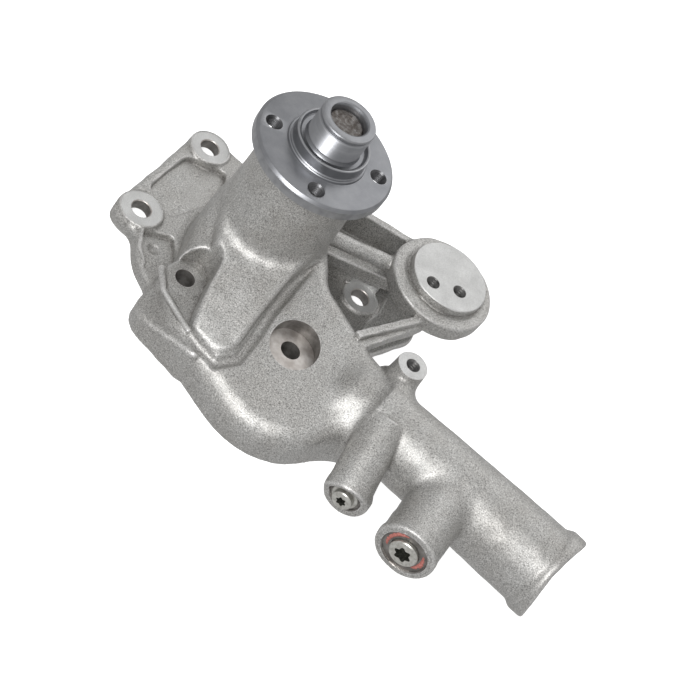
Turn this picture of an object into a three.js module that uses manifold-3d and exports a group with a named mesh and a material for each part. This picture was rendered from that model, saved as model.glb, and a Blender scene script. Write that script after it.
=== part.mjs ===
// Engine water pump: a sand-cast housing on its mounting face, with the shaft axis upright.
// Millimetres, +Z up along the shaft towards the pulley hub, +X along the outlet pipe.
// Every size below is measured from the shaft axis and the mounting face.
import * as THREE from 'three';
import { mergeVertices } from 'three/addons/utils/BufferGeometryUtils.js';
import Module from 'manifold-3d';

const wasm = await Module();
wasm.setup();

// ---------------------------------------------------------------- fits
const FIT = 0.15; // gap between two pieces that are pressed or screwed together
const RUNNING = 0.35; // gap between two pieces that turn past each other
const OVERCUT = 1; // how far a cutter runs past the face that it opens
const FAR = 300; // longer than any side of the pump

// ---------------------------------------------------------------- rotor and bearing
const SHAFT_RADIUS = 10;
const SHAFT_RECESS = 4; // shaft end below the rim of the hub nose
const SLEEVE_RADIUS = SHAFT_RADIUS + 9; // outer race of the integral bearing
const SLEEVE_WALL = 3.7;
const BEARING_LENGTH = 50;
const BALL_RADIUS = 3.2;
const BALL_COUNT = 8;
const ROLLER_LENGTH = 9;
const ROLLER_COUNT = 8;
const ROW_INSET = 14; // each rolling row from its end of the bearing
const CAGE_RIM = 1.1;
const CAGE_THICKNESS = 2;
const SEAL_THICKNESS = 2;
const SEAL_INSET = 1;

// ---------------------------------------------------------------- hub
const HUB_GAP = 3.5; // tower rim to the back of the hub flange
const HUB_RADIUS = 40;
const HUB_THICKNESS = 7.5;
const HUB_CHAMFER = 1.6;
const HUB_BACK_RADIUS = SHAFT_RADIUS + 5;
const NOSE_RADIUS = SHAFT_RADIUS + 5.5;
const COLLAR_RADIUS = NOSE_RADIUS + 5.7;
const STEP_RADIUS = COLLAR_RADIUS + 1.6;
const STEP_HEIGHT = 2;
const COLLAR_HEIGHT = 8.8;
const COLLAR_GROOVE = 2;
const COLLAR_RIM = 2.2; // rim between the collar's wall and its groove
const EDGE_BREAK = 0.8; // broken edges of the hub
const NOSE_HEIGHT = 25.5;
const NOSE_RIM = 2.5; // rim above the groove under the end of the nose
const NOSE_GROOVE = 1;
const NOSE_CHAMFER = 1.3;
const HUB_HOLE_RADIUS = 4;
const HUB_HOLE_CIRCLE = 31;
const HUB_HOLES = 4;
const HUB_HOLE_TURN = 0.38; // radians from +X to the first hole
const HUB_HOLE_SINK = 1; // countersink round each hole

// ---------------------------------------------------------------- impeller and shaft seal
const CHAMBER_RADIUS = 30;
const CHAMBER_DEPTH = 27;
const SEAL_BORE_DEPTH = 17;
const BEARING_STOP = 2; // shoulder between the seal bore and the bearing bore
const IMPELLER_RADIUS = 28;
const IMPELLER_SHROUD = 3;
const IMPELLER_TIP_GAP = 3; // vanes above the mounting face
const IMPELLER_ROOF_GAP = 2.5;
const IMPELLER_HUB_RADIUS = SHAFT_RADIUS + 5;
const VANE_COUNT = 6;
const VANE_THICKNESS = 3;
const VANE_SWEEP = 0.9; // radians that a vane trails from hub to rim
const SEAT_THICKNESS = 4;
const BOOT_WALL = 2;
const CARBON_RADIUS = SHAFT_RADIUS + 3.5;
const SEAT_RADIUS = CARBON_RADIUS + 1;
const SEAL_BORE_RADIUS = SEAT_RADIUS + BOOT_WALL + 1;
const CARBON_THICKNESS = 3;
const CUP_WALL = 1;
const BELLOWS_WALL = 1.6;
const SPRING_WIRE = 1.4;
const SPRING_TURNS = 3;

// ---------------------------------------------------------------- casting
const FLANGE_THICKNESS = 8.5;
const TOWER_RADIUS = SLEEVE_RADIUS + 11;
const TOWER_DRAFT = 5; // extra radius at the foot
const TOWER_LIP = 3; // tower above the end of the bearing
const ROOF_HEIGHT = 49; // sloping roof of the volute, taken at the shaft axis
const ROOF_SLOPE = 0.28; // height lost for each millimetre towards -Y
const SHOULDER = 4; // bevel round the edge of the roof
const PAD_HEIGHT = 64; // steeper pad on the roof, taken at the shaft axis
const PAD_SLOPE = 0.44;
const PAD_BEVEL = 1.5;
const BOLT_HOLE_RADIUS = 5.7;
const SLEEVE_RECESS_RADIUS = 9; // recess under each ear for a locating sleeve
const SLEEVE_RECESS_DEPTH = 3;
const TAP_RADIUS = 3.6;
const SPOT_RISE = 1.5; // machined spot faces above the flange
const COUNTERBORE_RADIUS = 14;
const COUNTERBORE_SEAT = 30;
const WEEP_RADIUS = 2.5;
const WEEP_DROP = 5; // weep hole below the roof of the seal bore
const WEEP_WAY = [-0.32, 0.95]; // plan direction of the weep hole
const VENT_RADIUS = 3; // notch in the rim of the tower
const VENT_WAY = [-0.58, -0.81]; // plan direction of the notch
const EAR_DRAFT = 1; // extra radius at the foot of each ear and boss

// The five mounting bolts: place, boss radius and top of the boss.
const EAR_TOP = FLANGE_THICKNESS + SPOT_RISE;
const BOLTS = {
  upper_ear: { x: -61.7, y: 49.3, boss: 12.5, top: EAR_TOP },
  lower_ear: { x: -59.4, y: -24.6, boss: 13, top: EAR_TOP },
  deep: { x: -12.4, y: -55.2, boss: 11, top: 24 },
  counterbored: { x: 54.9, y: -48, boss: 18, top: COUNTERBORE_SEAT },
  inner: { x: 62.2, y: 40, boss: 11.5, top: EAR_TOP },
};

// Outlet pipe along +X, with a thick lip and a saddle-shaped end.
const PIPE_Y = -42;
const PIPE_HEIGHT = 28;
const PIPE_RADIUS = 25;
const PIPE_ROOT_RADIUS = 22;
const PIPE_BORE = 18;
const PIPE_SIDES = 30;
const PIPE_START = 90; // tip of the cone that grows out of the volute
const PIPE_NECK = 118; // full pipe from here on
const PIPE_TIP_RADIUS = 10;
const PIPE_END = 242;
const LIP_LENGTH = 11;
const LIP_RISE = 2;
const SADDLE_DEPTH = 6;
const SADDLE_TURN = Math.PI / 4; // saddle axis, turned about +X from +Y

// Two sensor bosses on the side of the outlet, closed by screw plugs.
const SENSOR_BOSSES = {
  small: {
    x: 127, z: 21, radius: 13, end: -91, seat: 9, plug: 5.8, collar: 7.6, head: 5.5, depth: 14, socket: 3,
  },
  large: {
    x: 168, z: 28, radius: 17, end: -98.5, seat: 13, plug: 8.3, collar: 8.3, head: 3, depth: 12, socket: 5,
  },
};
const COLLAR_THICKNESS = 1.5;
const SOCKET_DEPTH = 6;
const PORT_RUNOUT = 2; // plug hole past the end of the plug
const BOSS_DRAFT = 1;
const PLUG_SINK = 1.2; // spot face below the end of the boss

// Bracket for the belt guide: a two-step disc carried on ribs.
const DISC = { x: 92.3, y: 49.3, radius: 31.8, bottom: 42, top: 53 };
const DISC_FACE = { x: 92.8, y: 51.5, radius: 23.5, rise: 5 };
const DISC_TAPS = [{ x: 87.6, y: 37.9 }, { x: 102.2, y: 47.1 }];
const DISC_TAP_DEPTH = 14;
const RIB_WIDTH = 6;
const BAR_RADIUS = 4.5;
const LOW_WEB_TOP = 29;
const RIB_DROP = 2; // tall ribs below the top of the disc's rim

// Ribs that carry the disc: plan point on the casting, then plan offset from the disc's centre.
const BAR = { from: [20, 12], rise: 3, offset: [-22, -5], drop: 7 };
const RIBS = [
  { from: [24, 35], offset: [-20, 11], bottom: 0, top: LOW_WEB_TOP, width: RIB_WIDTH },
  { from: [18, 44], offset: [-12, 14], bottom: 0, top: DISC.top - RIB_DROP, width: RIB_WIDTH },
  { from: [78, -22], offset: [8, -20], bottom: DISC.bottom - 4, top: DISC.bottom + 8, width: RIB_WIDTH + 2 },
];
const TOWER_RIB = { from: [14, 20], to: [18, 46] };

// Small threaded boss beside the root of the outlet pipe.
const STUD_BOSS = { x: 109, y: -18.5, radius: 9, bottom: 24, top: 54, depth: 14 };

// Corners of the outlines as [x, y, rounding radius], counter-clockwise.
const FLANGE_OUTLINE = [
  [-74, 60, 13], [-72, -38, 12], [-52, -39, 5], [-40, -54, 8], [-24, -62, 6], [0, -74, 6],
  [40, -78, 10], [88, -30, 10], [86, 18, 8], [76, 26, 6], [76, 64, 10], [40, 62, 10],
];
const VOLUTE_OUTLINE = [
  [-33, 6, 14], [-32, -20, 10], [-23, -42, 8], [-21, -62, 8], [-8, -78, 8], [22, -91, 14],
  [60, -102, 20], [90, -92, 16], [108, -64, 8], [121, -56, 8], [121, -26, 10], [86, -17, 16],
  [47, -5, 10], [38, 8, 12], [10, 20, 14], [-24, 20, 14],
];
const BULGE_OUTLINE = [[-24, -56, 6], [-23, -86, 16], [24, -92, 8], [10, -60, 8]];
const BULGE_TOP = 18;
const PAD_OUTLINE = [
  [-20, -28, 2], [-3, -55, 6], [6, -74, 5], [9, -81, 4], [28, -83, 7], [34, -74, 6], [30, -45, 10],
  [29, -12, 4], [-16, -14, 4],
];
const WEB_POCKET = [[-67, 33, 5], [-67, -6, 5], [-46, -14, 5], [-34, 26, 5], [-44, 45, 5]];
const EDGE_POCKET = [[-51, -34, 4], [-36, -22, 4], [-24, -36, 4], [-30, -55, 4], [-41, -50, 4]];
const POCKET_FLOOR = 5;
const BULGE_POCKET = [
  [36, -68, 6], [44, -88, 6], [84, -91, 14], [104, -68, 8], [78, -60, 6], [74, -70, 6], [46, -71, 6],
];
const BULGE_POCKET_ROOF = 13;
const CHANNEL = [
  [4, -24, 4], [20, -8, 4], [40, -12, 6], [118, -28, 4], [118, -56, 4], [82, -56, 8], [74, -33, 10],
];
const CHANNEL_FLOOR = 14;

// ---------------------------------------------------------------- derived heights and radii
const SEAL_ROOF = CHAMBER_DEPTH + SEAL_BORE_DEPTH;
const BEARING_BOTTOM = SEAL_ROOF + BEARING_STOP;
const BEARING_TOP = BEARING_BOTTOM + BEARING_LENGTH;
const TOWER_TOP = BEARING_TOP + TOWER_LIP;
const HUB_BACK = TOWER_TOP + HUB_GAP;
const HUB_FACE = HUB_BACK + HUB_THICKNESS;
const NOSE_TOP = HUB_FACE + NOSE_HEIGHT;
const SLEEVE_BORE = SLEEVE_RADIUS - SLEEVE_WALL;
const PITCH_RADIUS = (SHAFT_RADIUS + SLEEVE_BORE) / 2;
const RACE_RADIUS = BALL_RADIUS + RUNNING;
const ROLLER_RADIUS = (SLEEVE_BORE - SHAFT_RADIUS) / 2 - RUNNING;
const BALL_ROW = BEARING_TOP - ROW_INSET;
const ROLLER_ROW = BEARING_BOTTOM + ROW_INSET;
const IMPELLER_TOP = CHAMBER_DEPTH - IMPELLER_ROOF_GAP;

// ---------------------------------------------------------------- geometry helpers
/** Manifold solid of a closed three.js geometry. */
function solid(geometry) {
  const bare = geometry.index ? geometry.toNonIndexed() : geometry.clone();
  bare.deleteAttribute('normal');
  bare.deleteAttribute('uv');
  const merged = mergeVertices(bare, 1e-4);
  const vertProperties = new Float32Array(merged.attributes.position.array);
  const triVerts = new Uint32Array(merged.index.array);
  return new wasm.Manifold(new wasm.Mesh({ numProp: 3, vertProperties, triVerts }));
}

/** Solid cylinder or cone standing on z = bottom. */
function cylinder(x, y, bottom, top, lowRadius, highRadius = lowRadius, sides = 32) {
  const shape = new THREE.CylinderGeometry(highRadius, lowRadius, top - bottom, sides);
  shape.rotateX(Math.PI / 2);
  shape.translate(x, y, (bottom + top) / 2);
  return solid(shape);
}

/** Solid cylinder or cone between two points. */
function rod(from, to, startRadius, endRadius = startRadius, sides = 32) {
  const start = new THREE.Vector3(...from);
  const end = new THREE.Vector3(...to);
  const shape = new THREE.CylinderGeometry(endRadius, startRadius, start.distanceTo(end), sides);
  const along = end.clone().sub(start).normalize();
  shape.applyQuaternion(new THREE.Quaternion().setFromUnitVectors(new THREE.Vector3(0, 1, 0), along));
  shape.translate(...start.add(end).multiplyScalar(0.5).toArray());
  return solid(shape);
}

/** Closed profile of [radius, z] points turned about the shaft axis. */
function turned(profile, sides = 40) {
  const closed = [...profile, profile[0]].map(([radius, z]) => new THREE.Vector2(radius, z));
  const shape = new THREE.LatheGeometry(closed, sides);
  shape.rotateX(Math.PI / 2);
  const body = solid(shape);
  return body.volume() > 0 ? body : solid(flipped(shape));
}

/** The same geometry with its faces turned over. */
function flipped(geometry) {
  const copy = geometry.index ? geometry.toNonIndexed() : geometry.clone();
  const points = copy.attributes.position;
  for (let i = 0; i < points.count; i += 3) {
    const second = new THREE.Vector3().fromBufferAttribute(points, i + 1);
    const third = new THREE.Vector3().fromBufferAttribute(points, i + 2);
    points.setXYZ(i + 1, ...third.toArray());
    points.setXYZ(i + 2, ...second.toArray());
  }
  return copy;
}

/** Plain ring about the shaft axis. */
function ring(inner, outer, bottom, top, sides = 40) {
  return turned([[inner, bottom], [outer, bottom], [outer, top], [inner, top]], sides);
}

/** Shape with rounded corners, from [x, y, radius] corners. */
function roundedShape(corners) {
  const shape = new THREE.Shape();
  corners.forEach(([x, y, radius], i) => {
    const corner = new THREE.Vector2(x, y);
    const before = new THREE.Vector2(...corners.at(i - 1));
    const after = new THREE.Vector2(...corners[(i + 1) % corners.length]);
    const reach = Math.min(radius, corner.distanceTo(before) / 2.05, corner.distanceTo(after) / 2.05);
    const start = before.sub(corner).setLength(reach).add(corner);
    const end = after.sub(corner).setLength(reach).add(corner);
    if (i === 0) shape.moveTo(start.x, start.y);
    else shape.lineTo(start.x, start.y);
    shape.quadraticCurveTo(x, y, end.x, end.y);
  });
  shape.closePath();
  return shape;
}

/** Upright prism over an outline, with an optional bevel round its top edge. */
function prism(corners, bottom, top, bevel = 0) {
  const shape = new THREE.ExtrudeGeometry(roundedShape(corners), {
    depth: top - bottom - 2 * bevel,
    curveSegments: 4,
    bevelEnabled: bevel > 0,
    bevelThickness: bevel,
    bevelSize: bevel,
    bevelOffset: -bevel,
    bevelSegments: 2,
  });
  shape.translate(0, 0, bottom + bevel);
  return solid(shape);
}

/** Prism over an outline, from the mounting face to a top that slopes down towards -Y. */
function roofedPrism(corners, height, slope, bevel) {
  const shape = new THREE.ExtrudeGeometry(roundedShape(corners), {
    depth: height - bevel,
    curveSegments: 4,
    bevelThickness: bevel,
    bevelSize: bevel,
    bevelOffset: -bevel,
    bevelSegments: 2,
  });
  const points = shape.attributes.position;
  for (let i = 0; i < points.count; i += 1) {
    const roof = height + slope * points.getY(i);
    if (points.getZ(i) > 0) points.setZ(i, (points.getZ(i) / height) * roof);
  }
  const below = solid(new THREE.BoxGeometry(2 * FAR, 2 * FAR, 2 * FAR).translate(0, 0, -FAR));
  return solid(shape).subtract(below);
}

const join = (bodies) => bodies.reduce((whole, body) => whole.add(body));

/** Upright wall of the given width between two plan points. */
function wall(from, to, bottom, top, width = RIB_WIDTH) {
  const length = Math.hypot(to[0] - from[0], to[1] - from[1]);
  const shape = new THREE.BoxGeometry(length, width, top - bottom);
  shape.rotateZ(Math.atan2(to[1] - from[1], to[0] - from[0]));
  shape.translate((from[0] + to[0]) / 2, (from[1] + to[1]) / 2, (bottom + top) / 2);
  return solid(shape);
}

// ---------------------------------------------------------------- casting
/** Flange on the mounting face, with the recessed webs between its ears. */
function flangeBody() {
  const plate = prism(FLANGE_OUTLINE, 0, FLANGE_THICKNESS);
  const pockets = [WEB_POCKET, EDGE_POCKET].map((outline) => prism(outline, POCKET_FLOOR, FAR));
  const ears = Object.values(BOLTS)
    .filter((bolt) => bolt.top === EAR_TOP)
    .map((bolt) => cylinder(bolt.x, bolt.y, 0, bolt.top, bolt.boss + EAR_DRAFT, bolt.boss));
  return join([plate.subtract(join(pockets)), ...ears]);
}

/** Volute under its sloping roof, the raised pad on it, and the recess of the deep bolt. */
function voluteBody() {
  const { deep } = BOLTS;
  const recess = cylinder(deep.x, deep.y, deep.top, FAR, deep.boss);
  const body = roofedPrism(VOLUTE_OUTLINE, ROOF_HEIGHT, ROOF_SLOPE, SHOULDER);
  const pad = roofedPrism(PAD_OUTLINE, PAD_HEIGHT, PAD_SLOPE, PAD_BEVEL);
  return join([body, prism(BULGE_OUTLINE, 0, BULGE_TOP), pad]).subtract(recess);
}

/** Tower that carries the shaft bearing. */
function towerBody() {
  return cylinder(0, 0, 0, TOWER_TOP, TOWER_RADIUS + TOWER_DRAFT, TOWER_RADIUS, 40);
}

/** Belt-guide disc with the ribs that carry it. */
function discBody() {
  const { x, y, radius, bottom, top } = DISC;
  const face = DISC_FACE;
  const barEnd = [x + BAR.offset[0], y + BAR.offset[1], top - RIB_DROP - BAR.drop];
  const ribs = RIBS.map((rib) =>
    wall(rib.from, [x + rib.offset[0], y + rib.offset[1]], rib.bottom, rib.top, rib.width));
  return join([
    cylinder(x, y, bottom, top, radius, radius, 40),
    cylinder(face.x, face.y, bottom, top + face.rise, face.radius, face.radius, 32),
    rod([...BAR.from, top - RIB_DROP + BAR.rise], barEnd, BAR_RADIUS, BAR_RADIUS, 16),
    wall(TOWER_RIB.from, TOWER_RIB.to, 0, top - RIB_DROP),
    ...ribs,
  ]);
}

/** Outlet pipe with its thick lip. */
function pipeBody() {
  const lipStart = PIPE_END - LIP_LENGTH;
  const y = PIPE_Y;
  const z = PIPE_HEIGHT;
  const lip = PIPE_RADIUS + LIP_RISE;
  return join([
    rod([PIPE_START, y, z], [PIPE_NECK, y, z], PIPE_TIP_RADIUS, PIPE_ROOT_RADIUS, PIPE_SIDES),
    rod([PIPE_NECK, y, z], [lipStart, y, z], PIPE_ROOT_RADIUS, PIPE_RADIUS, PIPE_SIDES),
    rod([lipStart - LIP_RISE, y, z], [lipStart, y, z], PIPE_RADIUS, lip, PIPE_SIDES),
    rod([lipStart, y, z], [PIPE_END, y, z], lip, lip, PIPE_SIDES),
  ]);
}

/** Bosses on the side of the outlet for the two screw plugs. */
function sensorBosses() {
  return join(Object.values(SENSOR_BOSSES).map(({ x, z, radius, end }) =>
    rod([x, PIPE_Y, z + BOSS_DRAFT], [x, end, z], radius - BOSS_DRAFT, radius, 28)));
}

/** Everything that is drilled, bored or cored out of the casting. */
function housingCuts() {
  const weepHeight = SEAL_ROOF - WEEP_DROP;
  const ventReach = TOWER_RADIUS + TOWER_DRAFT;
  const deepCuts = [
    cylinder(0, 0, -OVERCUT, CHAMBER_DEPTH, CHAMBER_RADIUS, CHAMBER_RADIUS, 40),
    cylinder(0, 0, 0, SEAL_ROOF, SEAL_BORE_RADIUS, SEAL_BORE_RADIUS, 32),
    cylinder(0, 0, 0, FAR, SHAFT_RADIUS + BEARING_STOP, SHAFT_RADIUS + BEARING_STOP, 32),
    cylinder(0, 0, BEARING_BOTTOM, FAR, SLEEVE_RADIUS + FIT, SLEEVE_RADIUS + FIT, 40),
    prism(CHANNEL, CHANNEL_FLOOR, CHAMBER_DEPTH),
    prism(BULGE_POCKET, -OVERCUT, BULGE_POCKET_ROOF),
    rod([PIPE_NECK - 4, PIPE_Y, PIPE_HEIGHT], [PIPE_END + OVERCUT, PIPE_Y, PIPE_HEIGHT], PIPE_BORE),
    rod([0, 0, weepHeight], [WEEP_WAY[0] * FAR, WEEP_WAY[1] * FAR, weepHeight], WEEP_RADIUS),
    rod([0, 0, TOWER_TOP], [VENT_WAY[0] * ventReach, VENT_WAY[1] * ventReach, TOWER_TOP], VENT_RADIUS),
  ];
  const bolts = Object.values(BOLTS).map(({ x, y, top }) =>
    cylinder(x, y, -OVERCUT, top + OVERCUT, BOLT_HOLE_RADIUS, BOLT_HOLE_RADIUS, 20));
  const recesses = Object.values(BOLTS)
    .filter((bolt) => bolt.top === EAR_TOP)
    .map(({ x, y }) => cylinder(x, y, -OVERCUT, SLEEVE_RECESS_DEPTH, SLEEVE_RECESS_RADIUS));
  const { counterbored } = BOLTS;
  const counterbore = cylinder(
    counterbored.x, counterbored.y, COUNTERBORE_SEAT, FAR, COUNTERBORE_RADIUS,
  );
  const faceTop = DISC.top + DISC_FACE.rise;
  const tapped = (x, y, floor) => cylinder(x, y, floor, FAR, TAP_RADIUS, TAP_RADIUS, 16);
  const taps = [
    ...DISC_TAPS.map((tap) => tapped(tap.x, tap.y, faceTop - DISC_TAP_DEPTH)),
    tapped(STUD_BOSS.x, STUD_BOSS.y, STUD_BOSS.top - STUD_BOSS.depth),
  ];
  const ports = Object.values(SENSOR_BOSSES).flatMap(({ x, z, end, seat, plug, depth }) => [
    rod([x, end - OVERCUT, z], [x, end + PLUG_SINK, z], seat, seat, 24),
    rod([x, end - OVERCUT, z], [x, end + depth + PORT_RUNOUT, z], plug + FIT, plug + FIT, 20),
  ]);
  return join([...deepCuts, ...bolts, ...recesses, counterbore, ...taps, ...ports]);
}

/** Cutter that shapes the end of the outlet into a saddle. */
function saddleCut() {
  const reach = PIPE_RADIUS + LIP_RISE;
  const radius = (reach * reach + SADDLE_DEPTH * SADDLE_DEPTH) / (2 * SADDLE_DEPTH);
  const centre = PIPE_END + radius - SADDLE_DEPTH;
  const across = [0, Math.cos(SADDLE_TURN) * FAR, -Math.sin(SADDLE_TURN) * FAR];
  const start = [centre, PIPE_Y - across[1], PIPE_HEIGHT - across[2]];
  const end = [centre, PIPE_Y + across[1], PIPE_HEIGHT + across[2]];
  return rod(start, end, radius, radius, 48);
}

function pumpHousing() {
  const { x, y, bottom, top, radius } = STUD_BOSS;
  const stud = cylinder(x, y, bottom, top, radius + EAR_DRAFT, radius, 28);
  const cast = join([
    flangeBody(), voluteBody(), towerBody(), discBody(), pipeBody(), sensorBosses(), stud,
  ]);
  return cast.subtract(housingCuts()).subtract(saddleCut());
}

// ---------------------------------------------------------------- materials
const MATERIALS = {
  castAluminium: () => new THREE.MeshStandardMaterial({ color: 0xb4b2ae, roughness: 0.65, metalness: 0.6 }),
  turnedSteel: () => new THREE.MeshStandardMaterial({ color: 0x75767b, roughness: 0.35, metalness: 0.9 }),
  bearingSteel: () => new THREE.MeshStandardMaterial({ color: 0xa9abae, roughness: 0.2, metalness: 1 }),
  cageNylon: () => new THREE.MeshStandardMaterial({ color: 0xcfc6a8, roughness: 0.6, metalness: 0 }),
  sealRubber: () => new THREE.MeshStandardMaterial({ color: 0x1c1c1e, roughness: 0.8, metalness: 0 }),
  brass: () => new THREE.MeshStandardMaterial({ color: 0xb08d4a, roughness: 0.35, metalness: 0.9 }),
  carbon: () => new THREE.MeshStandardMaterial({ color: 0x2b2b2d, roughness: 0.5, metalness: 0.1 }),
  ceramic: () => new THREE.MeshStandardMaterial({ color: 0xe6e2d8, roughness: 0.3, metalness: 0 }),
  castIron: () => new THREE.MeshStandardMaterial({ color: 0x5c5b59, roughness: 0.7, metalness: 0.6 }),
  zincSteel: () => new THREE.MeshStandardMaterial({ color: 0xb9b8b2, roughness: 0.4, metalness: 0.8 }),
};

const pump = new THREE.Group();

/** Adds one named piece to the pump. */
function addPiece(name, body, material) {
  const { vertProperties, triVerts } = body.getMesh();
  const geometry = new THREE.BufferGeometry();
  geometry.setAttribute('position', new THREE.BufferAttribute(new Float32Array(vertProperties), 3));
  geometry.setIndex(new THREE.BufferAttribute(new Uint32Array(triVerts), 1));
  geometry.computeVertexNormals();
  const mesh = new THREE.Mesh(geometry, material());
  mesh.name = name;
  pump.add(mesh);
}

/** Arc of a raceway on a shaft (side -1) or in a sleeve (side +1), from low to high. */
function raceway(row, wallRadius, side) {
  const half = Math.sqrt(RACE_RADIUS ** 2 - (wallRadius - PITCH_RADIUS) ** 2);
  return [-1, -0.6, 0, 0.6, 1].map((share) => {
    const rise = share * half;
    return [PITCH_RADIUS + side * Math.sqrt(RACE_RADIUS ** 2 - rise ** 2), row + rise];
  });
}

function pulleyHub() {
  const bore = SHAFT_RADIUS + FIT;
  const collarTop = HUB_FACE + COLLAR_HEIGHT;
  const grooveFloor = collarTop - COLLAR_GROOVE;
  const rimFoot = NOSE_TOP - NOSE_RIM;
  const foot = HUB_BACK - HUB_GAP / 2;
  const stepTop = HUB_FACE + STEP_HEIGHT;
  const hub = turned([
    [bore, foot], [HUB_BACK_RADIUS, foot], [HUB_BACK_RADIUS, HUB_BACK],
    [HUB_RADIUS - EDGE_BREAK, HUB_BACK], [HUB_RADIUS, HUB_BACK + EDGE_BREAK],
    [HUB_RADIUS, HUB_FACE - HUB_CHAMFER], [HUB_RADIUS - HUB_CHAMFER, HUB_FACE],
    [STEP_RADIUS, HUB_FACE], [STEP_RADIUS, stepTop],
    [COLLAR_RADIUS, stepTop + EDGE_BREAK], [COLLAR_RADIUS, collarTop - EDGE_BREAK],
    [COLLAR_RADIUS - EDGE_BREAK, collarTop], [COLLAR_RADIUS - COLLAR_RIM, grooveFloor],
    [NOSE_RADIUS + EDGE_BREAK, grooveFloor],
    [NOSE_RADIUS, grooveFloor + EDGE_BREAK], [NOSE_RADIUS, rimFoot - NOSE_GROOVE],
    [NOSE_RADIUS - NOSE_GROOVE, rimFoot - NOSE_GROOVE], [NOSE_RADIUS - NOSE_GROOVE, rimFoot],
    [NOSE_RADIUS, rimFoot], [NOSE_RADIUS, NOSE_TOP - NOSE_CHAMFER], [NOSE_RADIUS - NOSE_CHAMFER, NOSE_TOP],
    [bore + NOSE_CHAMFER, NOSE_TOP], [bore, NOSE_TOP - NOSE_CHAMFER],
  ], 40);
  const low = HUB_BACK - OVERCUT;
  const high = HUB_FACE + OVERCUT;
  const mouth = HUB_HOLE_RADIUS + HUB_HOLE_SINK;
  const holes = Array.from({ length: HUB_HOLES }, (_, i) => {
    const turn = HUB_HOLE_TURN + (i * 2 * Math.PI) / HUB_HOLES;
    const x = HUB_HOLE_CIRCLE * Math.cos(turn);
    const y = HUB_HOLE_CIRCLE * Math.sin(turn);
    const sink = cylinder(x, y, HUB_FACE - HUB_HOLE_SINK, HUB_FACE, HUB_HOLE_RADIUS, mouth, 16);
    return cylinder(x, y, low, high, HUB_HOLE_RADIUS, HUB_HOLE_RADIUS, 16).add(sink);
  });
  return hub.subtract(join(holes));
}

/** One-piece bearing shaft, from the impeller to the hub nose. */
function pumpShaft() {
  const bottom = IMPELLER_TIP_GAP;
  const top = NOSE_TOP - SHAFT_RECESS;
  const chamfer = 1;
  return turned([
    [0, bottom], [SHAFT_RADIUS - chamfer, bottom], [SHAFT_RADIUS, bottom + chamfer],
    ...raceway(BALL_ROW, SHAFT_RADIUS, -1),
    [SHAFT_RADIUS, top - chamfer], [SHAFT_RADIUS - chamfer, top], [0, top],
  ], 32);
}

/** Outer race of the integral bearing, with the ball track and the roller track. */
function bearingSleeve() {
  return turned([
    [SLEEVE_BORE, BEARING_BOTTOM], [SLEEVE_RADIUS, BEARING_BOTTOM], [SLEEVE_RADIUS, BEARING_TOP],
    [SLEEVE_BORE, BEARING_TOP], ...raceway(BALL_ROW, SLEEVE_BORE, 1).reverse(),
  ]);
}

/** Cage ring round one rolling row, with a pocket for each rolling element. */
function rollingCage(row, halfHeight, count, pocket) {
  const inner = PITCH_RADIUS - CAGE_THICKNESS / 2;
  const band = ring(inner, inner + CAGE_THICKNESS, row - halfHeight, row + halfHeight, 32);
  const pockets = Array.from({ length: count }, (_, i) => pocket((i * 2 * Math.PI) / count));
  return band.subtract(join(pockets));
}

function rowPlace(turn, row) {
  return [PITCH_RADIUS * Math.cos(turn), PITCH_RADIUS * Math.sin(turn), row];
}

function ballBody(turn, radius) {
  const ball = new THREE.SphereGeometry(radius, 12, 8).rotateX(Math.PI / 2);
  return solid(ball.translate(...rowPlace(turn, BALL_ROW)));
}

/** Radial hole through the cage round one ball. */
function ballPocket(turn) {
  const [x, y, z] = rowPlace(turn, BALL_ROW);
  return rod([x / 2, y / 2, z], [x * 2, y * 2, z], RACE_RADIUS, RACE_RADIUS, 12);
}

function rollerBody(turn, radius, length) {
  const [x, y] = rowPlace(turn, ROLLER_ROW);
  return cylinder(x, y, ROLLER_ROW - length / 2, ROLLER_ROW + length / 2, radius, radius, 12);
}

function ballCage() {
  return rollingCage(BALL_ROW, BALL_RADIUS + RUNNING + CAGE_RIM, BALL_COUNT, ballPocket);
}

function rollerCage() {
  const pocket = (turn) => rollerBody(turn, ROLLER_RADIUS + RUNNING, ROLLER_LENGTH + 2 * RUNNING);
  return rollingCage(ROLLER_ROW, ROLLER_LENGTH / 2 + RUNNING + CAGE_RIM, ROLLER_COUNT, pocket);
}

/** Lip seal in one end of the bearing, clear of the turning shaft. */
function bearingSeal(bottom) {
  return ring(SHAFT_RADIUS + RUNNING, SLEEVE_BORE - FIT, bottom, bottom + SEAL_THICKNESS, 32);
}

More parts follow.
